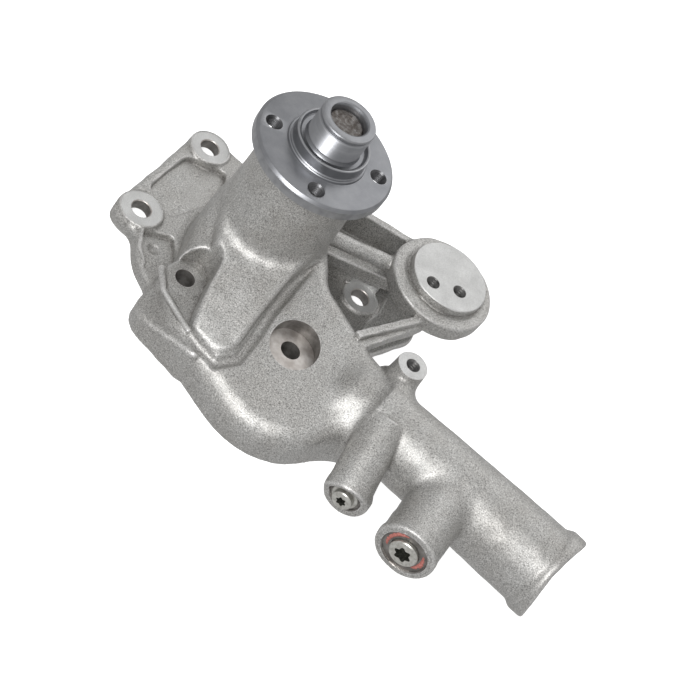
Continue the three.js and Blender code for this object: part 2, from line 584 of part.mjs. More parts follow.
/** Open impeller: hub and shroud plate with swept vanes below it. */
function impellerBody() {
  const plate = IMPELLER_TOP - IMPELLER_SHROUD;
  const bottom = IMPELLER_TIP_GAP + 1;
  const bore = SHAFT_RADIUS + FIT;
  const hub = turned([
    [bore, bottom], [IMPELLER_HUB_RADIUS, bottom], [IMPELLER_HUB_RADIUS + 2, plate],
    [IMPELLER_RADIUS, plate], [IMPELLER_RADIUS, IMPELLER_TOP], [bore, IMPELLER_TOP],
  ]);
  const depth = plate + 1 - IMPELLER_TIP_GAP;
  const vanes = Array.from({ length: VANE_COUNT }, (_, i) => {
    const first = (i * 2 * Math.PI) / VANE_COUNT;
    const point = (share, shift) => {
      const radius = IMPELLER_HUB_RADIUS - 1 + share * (IMPELLER_RADIUS - IMPELLER_HUB_RADIUS);
      const turn = first - share * VANE_SWEEP + shift / radius;
      return new THREE.Vector2(radius * Math.cos(turn), radius * Math.sin(turn));
    };
    const shares = [0, 0.25, 0.5, 0.75, 1];
    const outer = shares.map((share) => point(share, VANE_THICKNESS / 2));
    const inner = shares.map((share) => point(share, -VANE_THICKNESS / 2)).reverse();
    const outline = new THREE.Shape([...inner, ...outer]);
    const vane = new THREE.ExtrudeGeometry(outline, { depth, bevelEnabled: false });
    return solid(vane.translate(0, 0, IMPELLER_TIP_GAP));
  });
  return join([hub, ...vanes]);
}

// Shaft seal, upwards from the impeller: boot and seat turn with it, the rest is held in the casting.
const BOOT_BOTTOM = IMPELLER_TOP + FIT;
const SEAT_BOTTOM = BOOT_BOTTOM + BOOT_WALL / 2 + FIT;
const SEAT_TOP = SEAT_BOTTOM + SEAT_THICKNESS;
const CARBON_BOTTOM = SEAT_TOP + RUNNING;
const CARBON_TOP = CARBON_BOTTOM + CARBON_THICKNESS;
const CUP_BOTTOM = CARBON_TOP - 1;
const CUP_RADIUS = SEAL_BORE_RADIUS - FIT;
const CUP_BORE = SHAFT_RADIUS + BEARING_STOP;
const CUP_TOP = SEAL_ROOF - FIT;
const SEAL_INNER = SHAFT_RADIUS + BEARING_STOP / 2; // bore of the still half of the seal

/** Ceramic ring that turns on the back of the impeller. */
function ceramicSeat() {
  return ring(SHAFT_RADIUS + FIT, SEAT_RADIUS, SEAT_BOTTOM, SEAT_TOP);
}

/** Carbon ring that stands still against the ceramic one. */
function carbonRing() {
  return ring(SEAL_INNER, CARBON_RADIUS, CARBON_BOTTOM, CARBON_TOP);
}

/** Rubber boot that seats the ceramic ring on the back of the impeller. */
function seatBoot() {
  const inner = SHAFT_RADIUS + FIT;
  const outer = SEAT_RADIUS + FIT + BOOT_WALL;
  const lip = SEAT_BOTTOM + SEAT_THICKNESS / 2;
  return turned([
    [inner, BOOT_BOTTOM], [outer, BOOT_BOTTOM], [outer, lip], [SEAT_RADIUS + FIT, lip],
    [SEAT_RADIUS + FIT, SEAT_BOTTOM - FIT], [inner, SEAT_BOTTOM - FIT],
  ], 32);
}

/** Pressed cup that holds the still half of the seal in its bore. */
function sealCup() {
  return turned([
    [CUP_RADIUS - CUP_WALL, CUP_BOTTOM], [CUP_RADIUS, CUP_BOTTOM], [CUP_RADIUS, CUP_TOP],
    [CUP_BORE, CUP_TOP], [CUP_BORE, CUP_TOP - CUP_WALL], [CUP_RADIUS - CUP_WALL, CUP_TOP - CUP_WALL],
  ], 32);
}

/** Rubber bellows between the cup and the carbon ring. */
function sealBellows() {
  const top = CUP_TOP - CUP_WALL - FIT;
  const bottom = CARBON_TOP + FIT;
  const inner = SEAL_INNER;
  return turned([
    [inner, bottom], [CARBON_RADIUS, bottom], [CARBON_RADIUS, bottom + BELLOWS_WALL],
    [inner + BELLOWS_WALL, bottom + BELLOWS_WALL], [inner + BELLOWS_WALL, top - BELLOWS_WALL],
    [CARBON_RADIUS, top - BELLOWS_WALL], [CARBON_RADIUS, top], [inner, top],
  ], 32);
}

/** Coil spring round the bellows. */
function sealSpring() {
  const top = CUP_TOP - CUP_WALL - 2 * FIT - SPRING_WIRE / 2 - BELLOWS_WALL;
  const bottom = CARBON_TOP + 2 * FIT + SPRING_WIRE / 2 + BELLOWS_WALL;
  const radius = (CUP_RADIUS - CUP_WALL + SEAL_INNER + BELLOWS_WALL) / 2;
  class Helix extends THREE.Curve {
    getPoint(share, target = new THREE.Vector3()) {
      const turn = share * SPRING_TURNS * 2 * Math.PI;
      return target.set(radius * Math.cos(turn), radius * Math.sin(turn), bottom + share * (top - bottom));
    }
  }
  const section = new THREE.Shape().absarc(0, 0, SPRING_WIRE / 2, 0, 2 * Math.PI);
  return solid(new THREE.ExtrudeGeometry(section, {
    steps: SPRING_TURNS * 16, curveSegments: 3, bevelEnabled: false, extrudePath: new Helix(),
  }));
}

/** Screw plug with a round head over a thin collar, and a socket in its end. */
function screwPlug({ x, z, end, plug, collar, head, depth, socket }) {
  const face = end + PLUG_SINK - FIT;
  const body = rod([x, face - head, z], [x, end + depth, z], plug, plug, 20);
  const flange = rod([x, face - COLLAR_THICKNESS, z], [x, face, z], collar, collar, 20);
  const cut = rod([x, face - head - OVERCUT, z], [x, face - head + SOCKET_DEPTH, z], socket, socket, 6);
  return body.add(flange).subtract(cut);
}

addPiece('pump_housing', pumpHousing(), MATERIALS.castAluminium);
addPiece('pulley_hub', pulleyHub(), MATERIALS.turnedSteel);
addPiece('pump_shaft', pumpShaft(), MATERIALS.bearingSteel);
addPiece('bearing_sleeve', bearingSleeve(), MATERIALS.bearingSteel);
addPiece('ball_cage', ballCage(), MATERIALS.cageNylon);
addPiece('roller_cage', rollerCage(), MATERIALS.cageNylon);
for (let i = 0; i < BALL_COUNT; i += 1) {
  const turn = (i * 2 * Math.PI) / BALL_COUNT;
  addPiece(`bearing_ball_${i + 1}`, ballBody(turn, BALL_RADIUS), MATERIALS.bearingSteel);
}
for (let i = 0; i < ROLLER_COUNT; i += 1) {
  const roller = rollerBody((i * 2 * Math.PI) / ROLLER_COUNT, ROLLER_RADIUS, ROLLER_LENGTH);
  addPiece(`bearing_roller_${i + 1}`, roller, MATERIALS.bearingSteel);
}
addPiece('bearing_seal_front', bearingSeal(BEARING_TOP - SEAL_INSET - SEAL_THICKNESS), MATERIALS.sealRubber);
addPiece('bearing_seal_rear', bearingSeal(BEARING_BOTTOM + SEAL_INSET), MATERIALS.sealRubber);
addPiece('impeller', impellerBody(), MATERIALS.castIron);
addPiece('seal_seat_boot', seatBoot(), MATERIALS.sealRubber);
addPiece('seal_ceramic_seat', ceramicSeat(), MATERIALS.ceramic);
addPiece('seal_carbon_ring', carbonRing(), MATERIALS.carbon);
addPiece('seal_cup', sealCup(), MATERIALS.brass);
addPiece('seal_bellows', sealBellows(), MATERIALS.sealRubber);
addPiece('seal_spring', sealSpring(), MATERIALS.zincSteel);
addPiece('small_screw_plug', screwPlug(SENSOR_BOSSES.small), MATERIALS.zincSteel);
addPiece('large_screw_plug', screwPlug(SENSOR_BOSSES.large), MATERIALS.zincSteel);

// The part stands on its mounting face, with its origin in the middle of its plan.
const extent = new THREE.Box3().setFromObject(pump);
const middle = extent.getCenter(new THREE.Vector3());
pump.position.set(-middle.x, -middle.y, -extent.min.z);
pump.updateMatrixWorld(true);

export default pump;
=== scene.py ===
"""Looks of the engine water pump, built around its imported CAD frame.

The casting is one distance field, joined with cast fillets and meshed, then cut by its machined
features. Local sizes are in millimetres from the shaft axis and the mounting face.
"""

import math
from itertools import product

import bpy
import numpy as np
from mathutils import Matrix, Vector


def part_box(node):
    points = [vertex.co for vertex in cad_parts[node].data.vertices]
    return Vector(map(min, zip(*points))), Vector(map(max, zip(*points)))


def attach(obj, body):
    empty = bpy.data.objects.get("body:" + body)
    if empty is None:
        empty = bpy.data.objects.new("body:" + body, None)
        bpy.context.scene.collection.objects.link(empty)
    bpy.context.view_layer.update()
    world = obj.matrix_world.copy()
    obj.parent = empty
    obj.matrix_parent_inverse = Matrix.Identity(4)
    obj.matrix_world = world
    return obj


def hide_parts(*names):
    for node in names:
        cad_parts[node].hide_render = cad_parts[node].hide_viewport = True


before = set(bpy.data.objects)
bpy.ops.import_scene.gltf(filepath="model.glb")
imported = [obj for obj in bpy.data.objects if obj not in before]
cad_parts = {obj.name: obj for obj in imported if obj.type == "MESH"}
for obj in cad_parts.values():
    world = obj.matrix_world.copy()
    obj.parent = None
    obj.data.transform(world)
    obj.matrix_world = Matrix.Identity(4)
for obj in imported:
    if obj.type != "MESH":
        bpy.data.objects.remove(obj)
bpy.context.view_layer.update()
MM = 0.001

# ------------ places taken from the frame
SHAFT_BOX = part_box("pump_shaft")
HOUSING_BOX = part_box("pump_housing")
AXIS = (SHAFT_BOX[0] + SHAFT_BOX[1]) / 2
ORIGIN = Vector((AXIS.x, AXIS.y, HOUSING_BOX[0].z))


def local_box(node):
    """Box of a CAD node in local millimetres."""
    return [(corner - ORIGIN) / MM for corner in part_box(node)]


HUB_LOW, HUB_HIGH = local_box("pulley_hub")
HUB_RADIUS = HUB_HIGH.x
NOSE_TOP = HUB_HIGH.z
SHAFT_TOP = local_box("pump_shaft")[1].z
SHAFT_BOTTOM = local_box("pump_shaft")[0].z
SHAFT_RADIUS = local_box("pump_shaft")[1].x
SLEEVE_LOW, SLEEVE_HIGH = local_box("bearing_sleeve")
SLEEVE_RADIUS = SLEEVE_HIGH.x
SMALL_LOW, SMALL_HIGH = local_box("small_screw_plug")
LARGE_LOW, LARGE_HIGH = local_box("large_screw_plug")
PIPE_END = local_box("pump_housing")[1].x


def axis_place(low, high):
    """X and Z of a plug's axis."""
    return (low.x + high.x) / 2, (low.z + high.z) / 2


SMALL_X, SMALL_Z = axis_place(SMALL_LOW, SMALL_HIGH)
LARGE_X, LARGE_Z = axis_place(LARGE_LOW, LARGE_HIGH)

# ------------ hub and shaft sizes
FIT = 0.15
HUB_BACK_RADIUS = 15
HUB_BACK = HUB_LOW.z + 1.75
HUB_FACE = HUB_BACK + 7.5
TOWER_TOP = HUB_BACK - 3.5
STEP_RADIUS = 22.8
STEP_HEIGHT = 2
COLLAR_RADIUS = 21.2
COLLAR_TOP = HUB_FACE + 8.8
COLLAR_GROOVE = 2
NOSE_RADIUS = 15.5
NOSE_RIM = 2.5
THREAD_PITCH = 1.0
THREAD_DEPTH = 0.5
HUB_HOLE_RADIUS = 4
HUB_HOLE_CIRCLE = 31
HUB_HOLES = 4
HUB_HOLE_TURN = 0.38

# ------------ casting sizes
FLANGE_THICKNESS = 8.5
EAR_TOP = 10
ROOF_HEIGHT = 49
ROOF_SLOPE = 0.28
PAD_HEIGHT = 64
PAD_SLOPE = 0.44
TOWER_RADIUS = 30
TOWER_DRAFT = 5
BOLT_HOLE_RADIUS = 5.7
TAP_RADIUS = 3.6
CHAMBER_RADIUS = 30
CHAMBER_DEPTH = 27
SEAL_BORE_RADIUS = 17.5
SEAL_ROOF = 44
BEARING_STOP = 2
BOLTS = {
    "upper_ear": (-61.7, 49.3, 12.5, EAR_TOP),
    "lower_ear": (-59.4, -24.6, 13.0, EAR_TOP),
    "deep": (-12.4, -55.2, 11.0, 24),
    "counterbored": (54.9, -48.0, 18.0, 30),
    "inner": (62.2, 40.0, 11.5, EAR_TOP),
}
SLEEVE_RECESS = (9.0, 3.0)
COUNTERBORE_RADIUS = 14
PIPE_Y = -42
PIPE_HEIGHT = 28
PIPE_RADIUS = 25
PIPE_ROOT_RADIUS = 22
PIPE_BORE = 18
PIPE_NECK = 118
LIP_LENGTH = 11
LIP_RISE = 2
SADDLE_DEPTH = 6
SADDLE_TURN = math.pi / 4
DISC = (92.3, 49.3, 31.8)
DISC_BOTTOM = 42
DISC_TOP = 53
FACE = (92.8, 51.5, 23.5)
FACE_TOP = 58
DISC_TAPS = [(87.6, 37.9), (102.2, 47.1)]
FACE_CHAMFER = 0.25
STUD = (109, -18.5, 9)
STUD_TOP = 54
STUD_FACE_REACH = 14
TAP_DEPTH = 14
MILLED_REACH = 400
VENT_WAY = (-23.0, -32.0, 0.0)
VENT_RADIUS = 3

# ------------ plugs and their seats
SMALL_BOSS_END = -91
LARGE_BOSS_END = -98.5
SMALL_SEAT_RADIUS = 9
LARGE_SEAT_RADIUS = 13
SMALL_SCREW_RADIUS = 5.8
LARGE_SCREW_RADIUS = 8.3
SEAT_SINK = 1.2
SCREW_HOLE_DEPTH = 16
COLLAR_THICKNESS = 1.5

FLANGE_OUTLINE = [
    (-74, 60, 13), (-72, -38, 12), (-52, -39, 5), (-40, -54, 8), (-24, -62, 6), (0, -74, 6),
    (40, -78, 10), (88, -30, 10), (86, 18, 8), (76, 26, 6), (76, 64, 10), (40, 62, 10),
]
VOLUTE_OUTLINE = [
    (-33, 6, 14), (-32, -20, 10), (-23, -42, 8), (-21, -62, 8), (-8, -78, 8), (22, -91, 14),
    (60, -102, 20), (90, -92, 16), (108, -64, 8), (121, -56, 8), (121, -26, 10), (86, -17, 16),
    (47, -5, 10), (38, 8, 12), (10, 20, 14), (-24, 20, 14),
]
BULGE_OUTLINE = [(-24, -56, 6), (-23, -86, 16), (24, -92, 8), (10, -60, 8)]
PAD_OUTLINE = [
    (-20, -28, 2), (-3, -55, 6), (6, -74, 5), (9, -81, 4), (28, -83, 7), (34, -74, 6), (30, -45, 10),
    (29, -12, 4), (-16, -14, 4),
]
PAD_VALLEY = [(31.5, -4), (32.5, -20), (34, -43), (37, -62), (38, -76), (31, -86), (19, -85.5), (9, -83)]
TEARDROP = [
    (-25, -60, 5), (-15, -71, 5), (-4, -76, 3), (8, -81, 2), (4, -70, 3), (-1, -52, 6), (-4, -42, 6),
    (-14, -39, 6), (-23, -47, 6),
]
WEB_POCKET = [(-67, 33, 5), (-67, -6, 5), (-46, -14, 5), (-34, 26, 5), (-44, 45, 5)]
EDGE_POCKET = [(-51, -34, 4), (-36, -22, 4), (-24, -36, 4), (-30, -55, 4), (-41, -50, 4)]
BULGE_POCKET = [
    (36, -68, 6), (44, -88, 6), (84, -91, 14), (104, -68, 8), (78, -60, 6), (74, -70, 6), (46, -71, 6),
]
CHANNEL = [(4, -24, 4), (20, -8, 4), (40, -12, 6), (118, -28, 4), (118, -56, 4), (82, -56, 8), (74, -33, 10)]

# ------------ distance field
CELL = 0.9
FIELD_EDGE = 6.0
FIELD_LOW = np.array([-84.0, -114.0, -FIELD_EDGE])
FIELD_HIGH = np.array([PIPE_END + FIELD_EDGE, 90.0, TOWER_TOP + FIELD_EDGE])
OUTSIDE = 50.0
WINDOW_MARGIN = 3
PINCH_ROUNDS = 12


def smooth_min(a, b, blend):
    """Union of two distances with a fillet of about the blend's size."""
    if blend <= 0:
        return np.minimum(a, b)
    share = np.clip(0.5 + 0.5 * (b - a) / blend, 0, 1)
    return b * (1 - share) + a * share - blend * share * (1 - share)


class Field:
    """Signed distances on a regular grid, negative in the metal."""

    def __init__(self):
        self.shape = np.ceil((FIELD_HIGH - FIELD_LOW) / CELL).astype(int) + 1
        self.values = np.full(self.shape, OUTSIDE, np.float32)

    def window(self, low, high, margin):
        """Grid slices and coordinates around a box."""
        first = np.maximum(np.floor((np.array(low) - margin - FIELD_LOW) / CELL).astype(int), 0)
        last = np.ceil((np.array(high) + margin - FIELD_LOW) / CELL).astype(int) + 1
        last = np.minimum(last, self.shape)
        slices = tuple(slice(a, b) for a, b in zip(first, last))
        x, y, z = [(FIELD_LOW[i] + CELL * np.arange(first[i], last[i])).astype(np.float32) for i in range(3)]
        return slices, x[:, None, None], y[None, :, None], z[None, None, :]

    def add(self, form, blend=0.0):
        """Joins a form to the metal with a fillet."""
        low, high, distance = form
        where, x, y, z = self.window(low, high, blend + WINDOW_MARGIN)
        self.values[where] = smooth_min(self.values[where], distance(x, y, z), blend)

    def cut(self, form, blend=0.0):
        """Takes a form out of the metal with a fillet."""
        low, high, distance = form
        where, x, y, z = self.window(low, high, blend + WINDOW_MARGIN)
        self.values[where] = -smooth_min(-self.values[where], distance(x, y, z), blend)


def rounded(across, along, rounding):
    """Distance to a form with two bounding distances and rounded edges between them."""
    a = across + rounding
    b = along + rounding
    return np.minimum(np.maximum(a, b), 0) + np.hypot(np.maximum(a, 0), np.maximum(b, 0)) - rounding


def rounded_outline(corners, steps=5):
    """Points of an outline whose corners are (x, y, rounding radius)."""
    points = []
    for i, (x, y, radius) in enumerate(corners):
        corner = np.array((x, y), float)
        before = np.array(corners[i - 1][:2], float) - corner
        after = np.array(corners[(i + 1) % len(corners)][:2], float) - corner
        reach = min(radius, np.hypot(*before) / 2.05, np.hypot(*after) / 2.05)
        start = corner + before / np.hypot(*before) * reach
        end = corner + after / np.hypot(*after) * reach
        for t in np.linspace(0, 1, steps):
            points.append((1 - t) ** 2 * start + 2 * t * (1 - t) * corner + t * t * end)
    return np.array(points)


def outline_distance(points, x, y):
    """Signed distance to a closed outline in plan."""
    nearest = np.full(np.broadcast(x, y).shape, 1e9, np.float32)
    inside = np.zeros(nearest.shape, bool)
    for (ax, ay), (bx, by) in zip(points, np.roll(points, -1, axis=0)):
        ex, ey = bx - ax, by - ay
        length2 = ex * ex + ey * ey
        if length2 < 1e-9:
            continue
        t = np.clip(((x - ax) * ex + (y - ay) * ey) / length2, 0, 1)
        nearest = np.minimum(nearest, (x - ax - t * ex) ** 2 + (y - ay - t * ey) ** 2)
        if ey != 0:
            crosses = (y >= min(ay, by)) & (y < max(ay, by)) & (x < ax + (y - ay) * ex / ey)
            inside ^= crosses
    return np.where(inside, -np.sqrt(nearest), np.sqrt(nearest))


def prism(corners, bottom, top, rounding=0.0):
    """Upright prism. Bottom and top are heights or functions of x and y."""
    points = rounded_outline(corners)
    high = top if callable(top) else (lambda x, y: top)
    slope = math.cos(math.atan(ROOF_SLOPE)) if callable(top) else 1.0

    def distance(x, y, z):
        upper = (z - high(x, y)) * slope
        return rounded(outline_distance(points, x, y), np.maximum(upper, bottom - z), rounding)

    low_xy, high_xy = points.min(0), points.max(0)
    ceiling = max(float(high(px, py)) for px, py in points)
    return (*low_xy, bottom), (*high_xy, ceiling), distance


def rod(start, end, radius, end_radius=None, rounding=0.0):
    """Round bar or cone between two points."""
    a, b = np.array(start, float), np.array(end, float)
    length = np.linalg.norm(b - a)
    axis = (b - a) / length
    last = radius if end_radius is None else end_radius
    slope = math.cos(math.atan((last - radius) / length))
    reach = max(radius, last)

    def distance(x, y, z):
        dx, dy, dz = x - a[0], y - a[1], z - a[2]
        t = dx * axis[0] + dy * axis[1] + dz * axis[2]
        away = np.sqrt(np.maximum(dx * dx + dy * dy + dz * dz - t * t, 0))
        wall = (away - radius - (last - radius) * np.clip(t / length, 0, 1)) * slope
        return rounded(wall, np.abs(t - length / 2) - length / 2, rounding)

    return np.minimum(a, b) - reach, np.maximum(a, b) + reach, distance


def drum(x, y, bottom, top, radius, top_radius=None, rounding=0.0):
    """Upright cylinder or cone."""
    return rod((x, y, bottom), (x, y, top), radius, top_radius, rounding)


def bead(points, radius):
    """Round bead along a line of points."""
    line = np.array(points, float)

    def distance(x, y, z):
        nearest = None
        for a, b in zip(line[:-1], line[1:]):
            d = b - a
            t = ((x - a[0]) * d[0] + (y - a[1]) * d[1] + (z - a[2]) * d[2]) / d.dot(d)
            t = np.clip(t, 0, 1)
            px, py, pz = x - a[0] - t * d[0], y - a[1] - t * d[1], z - a[2] - t * d[2]
            far = np.sqrt(px ** 2 + py ** 2 + pz ** 2)
            nearest = far if nearest is None else np.minimum(nearest, far)
        return nearest - radius

    return line.min(0) - radius, line.max(0) + radius, distance


def wall(start, end, bottom, top, width, rounding=1.0):
    """Upright rib between two plan points. Its top runs from the first height to the second."""
    a, b = np.array(start, float), np.array(end, float)
    length = np.hypot(*(b - a))
    ux, uy = (b - a) / length
    first, second = top if isinstance(top, tuple) else (top, top)

    def distance(x, y, z):
        t = (x - a[0]) * ux + (y - a[1]) * uy
        side = np.abs((y - a[1]) * ux - (x - a[0]) * uy) - width / 2
        crest = z - (first + (second - first) * np.clip(t / length, 0, 1))
        across = np.maximum(side, np.abs(t - length / 2) - length / 2)
        return rounded(across, np.maximum(crest, bottom - z), rounding)

    low = (min(a[0], b[0]) - width, min(a[1], b[1]) - width, bottom)
    high = (max(a[0], b[0]) + width, max(a[1], b[1]) + width, max(first, second))
    return low, high, distance


def roof(height=ROOF_HEIGHT, slope=ROOF_SLOPE):
    """Height of a roof that slopes down towards -Y."""
    return lambda x, y: height + slope * y


def fill_pinches(values, pinch, places):
    """Puts a thin skin of metal at the corners of the pinched squares or cubes, and counts them."""
    for where in places:
        skin = np.minimum(values[where], -0.05 * CELL)
        values[where] = np.where(pinch, skin, values[where])
    return int(pinch.sum())


def close_pinches(values):
    """Fills grid squares and cubes whose metal corners only touch across a diagonal.

    The border is kept clear, so that the surface is closed.
    """
    for axis in range(3):
        for side in (0, -1):
            np.moveaxis(values, axis, 0)[side] = CELL
    for _ in range(PINCH_ROUNDS):
        inside = values < 0
        found = 0
        for axis in range(3):
            u, v = [i for i in range(3) if i != axis]
            part = {}
            for i, j in product((0, 1), repeat=2):
                where = [slice(None)] * 3
                where[u] = slice(i, values.shape[u] - 1 + i)
                where[v] = slice(j, values.shape[v] - 1 + j)
                part[i, j] = tuple(where)
            a, b, c, d = (inside[part[key]] for key in ((0, 0), (1, 0), (0, 1), (1, 1)))
            pinch = (a == d) & (b == c) & (a != b)
            found += fill_pinches(values, pinch, part.values())
        corners = {}
        for key in product((0, 1), repeat=3):
            corners[key] = tuple(slice(n, size - 1 + n) for n, size in zip(key, values.shape))
        inside = values < 0
        count = sum(inside[where].astype(np.int8) for where in corners.values())
        for first in ((0, 0, 0), (1, 0, 0), (0, 1, 0), (0, 0, 1)):
            second = tuple(1 - n for n in first)
            same = inside[corners[first]] & inside[corners[second]] & (count == 2)
            clear = ~inside[corners[first]] & ~inside[corners[second]] & (count == 6)
            found += fill_pinches(values, same | clear, corners.values())
        if not found:
            break
    return values


def surface_net(values):
    """Vertices and quads of the zero level of a field."""
    inside = values < 0
    cells = tuple(n - 1 for n in values.shape)
    corners = list(product((0, 1), repeat=3))

    def corner(grid, c):
        return grid[c[0]:c[0] + cells[0], c[1]:c[1] + cells[1], c[2]:c[2] + cells[2]]

    count = sum(corner(inside, c).astype(np.int8) for c in corners)
    active = (count > 0) & (count < 8)
    place = np.argwhere(active)
    number = np.full(cells, -1, np.int64)
    number[active] = np.arange(len(place))
    value = {c: corner(values, c)[active] for c in corners}
    total = np.zeros((len(place), 3))
    hits = np.zeros(len(place))
    for a in corners:
        for axis in range(3):
            if a[axis]:
                continue
            b = tuple(1 if i == axis else a[i] for i in range(3))
            crossing = (value[a] < 0) != (value[b] < 0)
            share = np.where(crossing, value[a] / np.where(crossing, value[a] - value[b], 1), 0)
            point = np.tile(np.array(a, float), (len(place), 1))
            point[:, axis] += share
            total += point * crossing[:, None]
            hits += crossing
    vertices = FIELD_LOW + CELL * (place + total / hits[:, None])
    quads = []
    for axis in range(3):
        u, v = (axis + 1) % 3, (axis + 2) % 3
        first = [slice(1, n - 1) for n in values.shape]
        first[axis] = slice(0, values.shape[axis] - 1)
        second = list(first)
        second[axis] = slice(1, values.shape[axis])
        start, end = inside[tuple(first)], inside[tuple(second)]
        edges = np.argwhere(start != end)
        leaving = start[tuple(edges.T)]
        edges[:, u] += 1
        edges[:, v] += 1
        ring = []
        for du, dv in ((0, 0), (-1, 0), (-1, -1), (0, -1)):
            cell = edges.copy()
            cell[:, u] += du
            cell[:, v] += dv
            ring.append(number[tuple(cell.T)])
        ring = np.stack(ring, 1)
        ring[~leaving] = ring[~leaving][:, ::-1]
        quads.append(ring)
    return vertices, np.concatenate(quads)


def mesh_object(name, vertices, faces, material=None):
    """Object from local millimetre vertices and equal-sized faces."""
    points = np.asarray(vertices, float) * MM + np.array(ORIGIN)
    mesh = bpy.data.meshes.new(name)
    if isinstance(faces, np.ndarray):
        mesh.vertices.add(len(points))
        mesh.vertices.foreach_set("co", points.astype(np.float32).ravel())
        size = faces.shape[1]
        mesh.loops.add(faces.size)
        mesh.loops.foreach_set("vertex_index", faces.astype(np.int32).ravel())
        mesh.polygons.add(len(faces))
        mesh.polygons.foreach_set("loop_start", (np.arange(len(faces)) * size).astype(np.int32))
        mesh.update(calc_edges=True)
    else:
        mesh.from_pydata([tuple(p) for p in points], [], faces)
        mesh.update()
    made = bpy.data.objects.new(name, mesh)
    bpy.context.scene.collection.objects.link(made)
    if material:
        mesh.materials.append(material)
    return made


# ------------ the cast body
def casting_field():
    """The casting as it leaves the mould, before any machining."""
    body = Field()
    below = FIELD_LOW[2]
    body.add(prism(FLANGE_OUTLINE, below, FLANGE_THICKNESS, 1.8))
    for outline in (WEB_POCKET, EDGE_POCKET):
        body.cut(prism(outline, 4.6, 40, 1.0), 1.6)
    for x, y, radius, top in BOLTS.values():
        if top == EAR_TOP:
            body.add(drum(x, y, below, top + 0.5, radius + 1.2, radius, 0.8), 1.6)
    body.add(bead([(-36, -52, 8), (-44, -46, 8.6), (-49, -38, 8.8), (-52, -32, 9)], 1.4), 1.2)
    body.cut(drum(-39, -36, 3.4, 20, 2.5, 6.5, 0.8), 2)

    body.add(prism(VOLUTE_OUTLINE, below, roof(), 10), 2)
    body.add(prism(BULGE_OUTLINE, below, lambda x, y: 11 + 0.32 * (x + 24) + 0.02 * (y + 56), 3), 3)
    deep_x, deep_y, deep_radius, deep_top = BOLTS["deep"]
    body.add(prism(PAD_OUTLINE, 10, roof(PAD_HEIGHT, PAD_SLOPE), 3.0), 0.8)
    body.cut(bead([(x, y, roof(49.5)(x, y)) for x, y in PAD_VALLEY], 3.4), 1)
    body.cut(prism(TEARDROP, deep_top, 80, 1.0), 1.5)
    body.add(drum(deep_x, deep_y, below, deep_top + 0.3, deep_radius + 2, deep_radius, 1.2), 1.2)
    body.add(bead([(-25, -60, 23.5), (-15.5, -71.5, 24.5), (-3.6, -77, 25), (9, -83, 26.5)], 1.7), 1.2)
    body.add(drum(0, 0, below, TOWER_TOP + 1, TOWER_RADIUS + TOWER_DRAFT, TOWER_RADIUS), 6)

    add_disc_bracket(body, below)
    add_outlet(body)
    add_cores(body)
    roughen(body)
    return body


def add_disc_bracket(body, below):
    """Belt-guide disc, its ribs, and the small stud boss."""
    x, y, radius = DISC
    face_x, face_y, face_radius = FACE
    body.add(drum(x, y, DISC_BOTTOM, DISC_TOP, radius, radius, 1.6), 0)
    body.add(drum(face_x, face_y, DISC_BOTTOM, FACE_TOP + 2, face_radius + 0.8, face_radius), 2.2)
    body.add(rod((14, 8, 53), (x - 22, y - 5, 44), 4.5), 2)
    body.add(wall((24, 31), (x - 26, y + 3), below, (31, 27), 4, 1.2), 1.5)
    body.add(wall((18, 46), (x - 12, y + 18), below, (52, 50), 4.5, 1.0), 1.8)
    body.add(wall((14, 20), (20, 48), below, 51, 6, 1.4), 2.5)
    body.add(prism([(14, 16, 3), (72, 44, 3), (82, 62, 3), (18, 48, 3)], 24, 33, 1.2), 1.8)
    body.add(wall((76, -20), (x + 9, y - 20), DISC_BOTTOM - 5, (46, 50.5), 4.5, 0.8), 1.2)
    body.add(wall((79, -26), (x + 7, y - 25), DISC_BOTTOM - 6, (42, 45.5), 4.5, 0.8), 1.0)
    crease = [(face_x + 24.6 * math.cos(t), face_y + 24.6 * math.sin(t), DISC_TOP + 0.4)
              for t in np.linspace(0, 2 * math.pi, 49)]
    body.cut(bead(crease, 1.0), 0.6)
    web = [(76, -8, 4), (88, -4, 4), (101, 28, 4), (98, 44, 4), (80, 58, 4), (72, 50, 3), (76, 30, 4),
           (75, 14, 4)]
    body.add(prism(web, 17, 22, 1.0), 1.2)
    stud_x, stud_y, stud_radius = STUD
    body.add(drum(stud_x, stud_y, 26, STUD_TOP + 0.6, stud_radius + 0.8, stud_radius, 0.6), 2)
    body.add(drum(stud_x - 1, stud_y - 2, 22, 36, stud_radius + 4.5, stud_radius + 3.2, 1.6), 2.5)


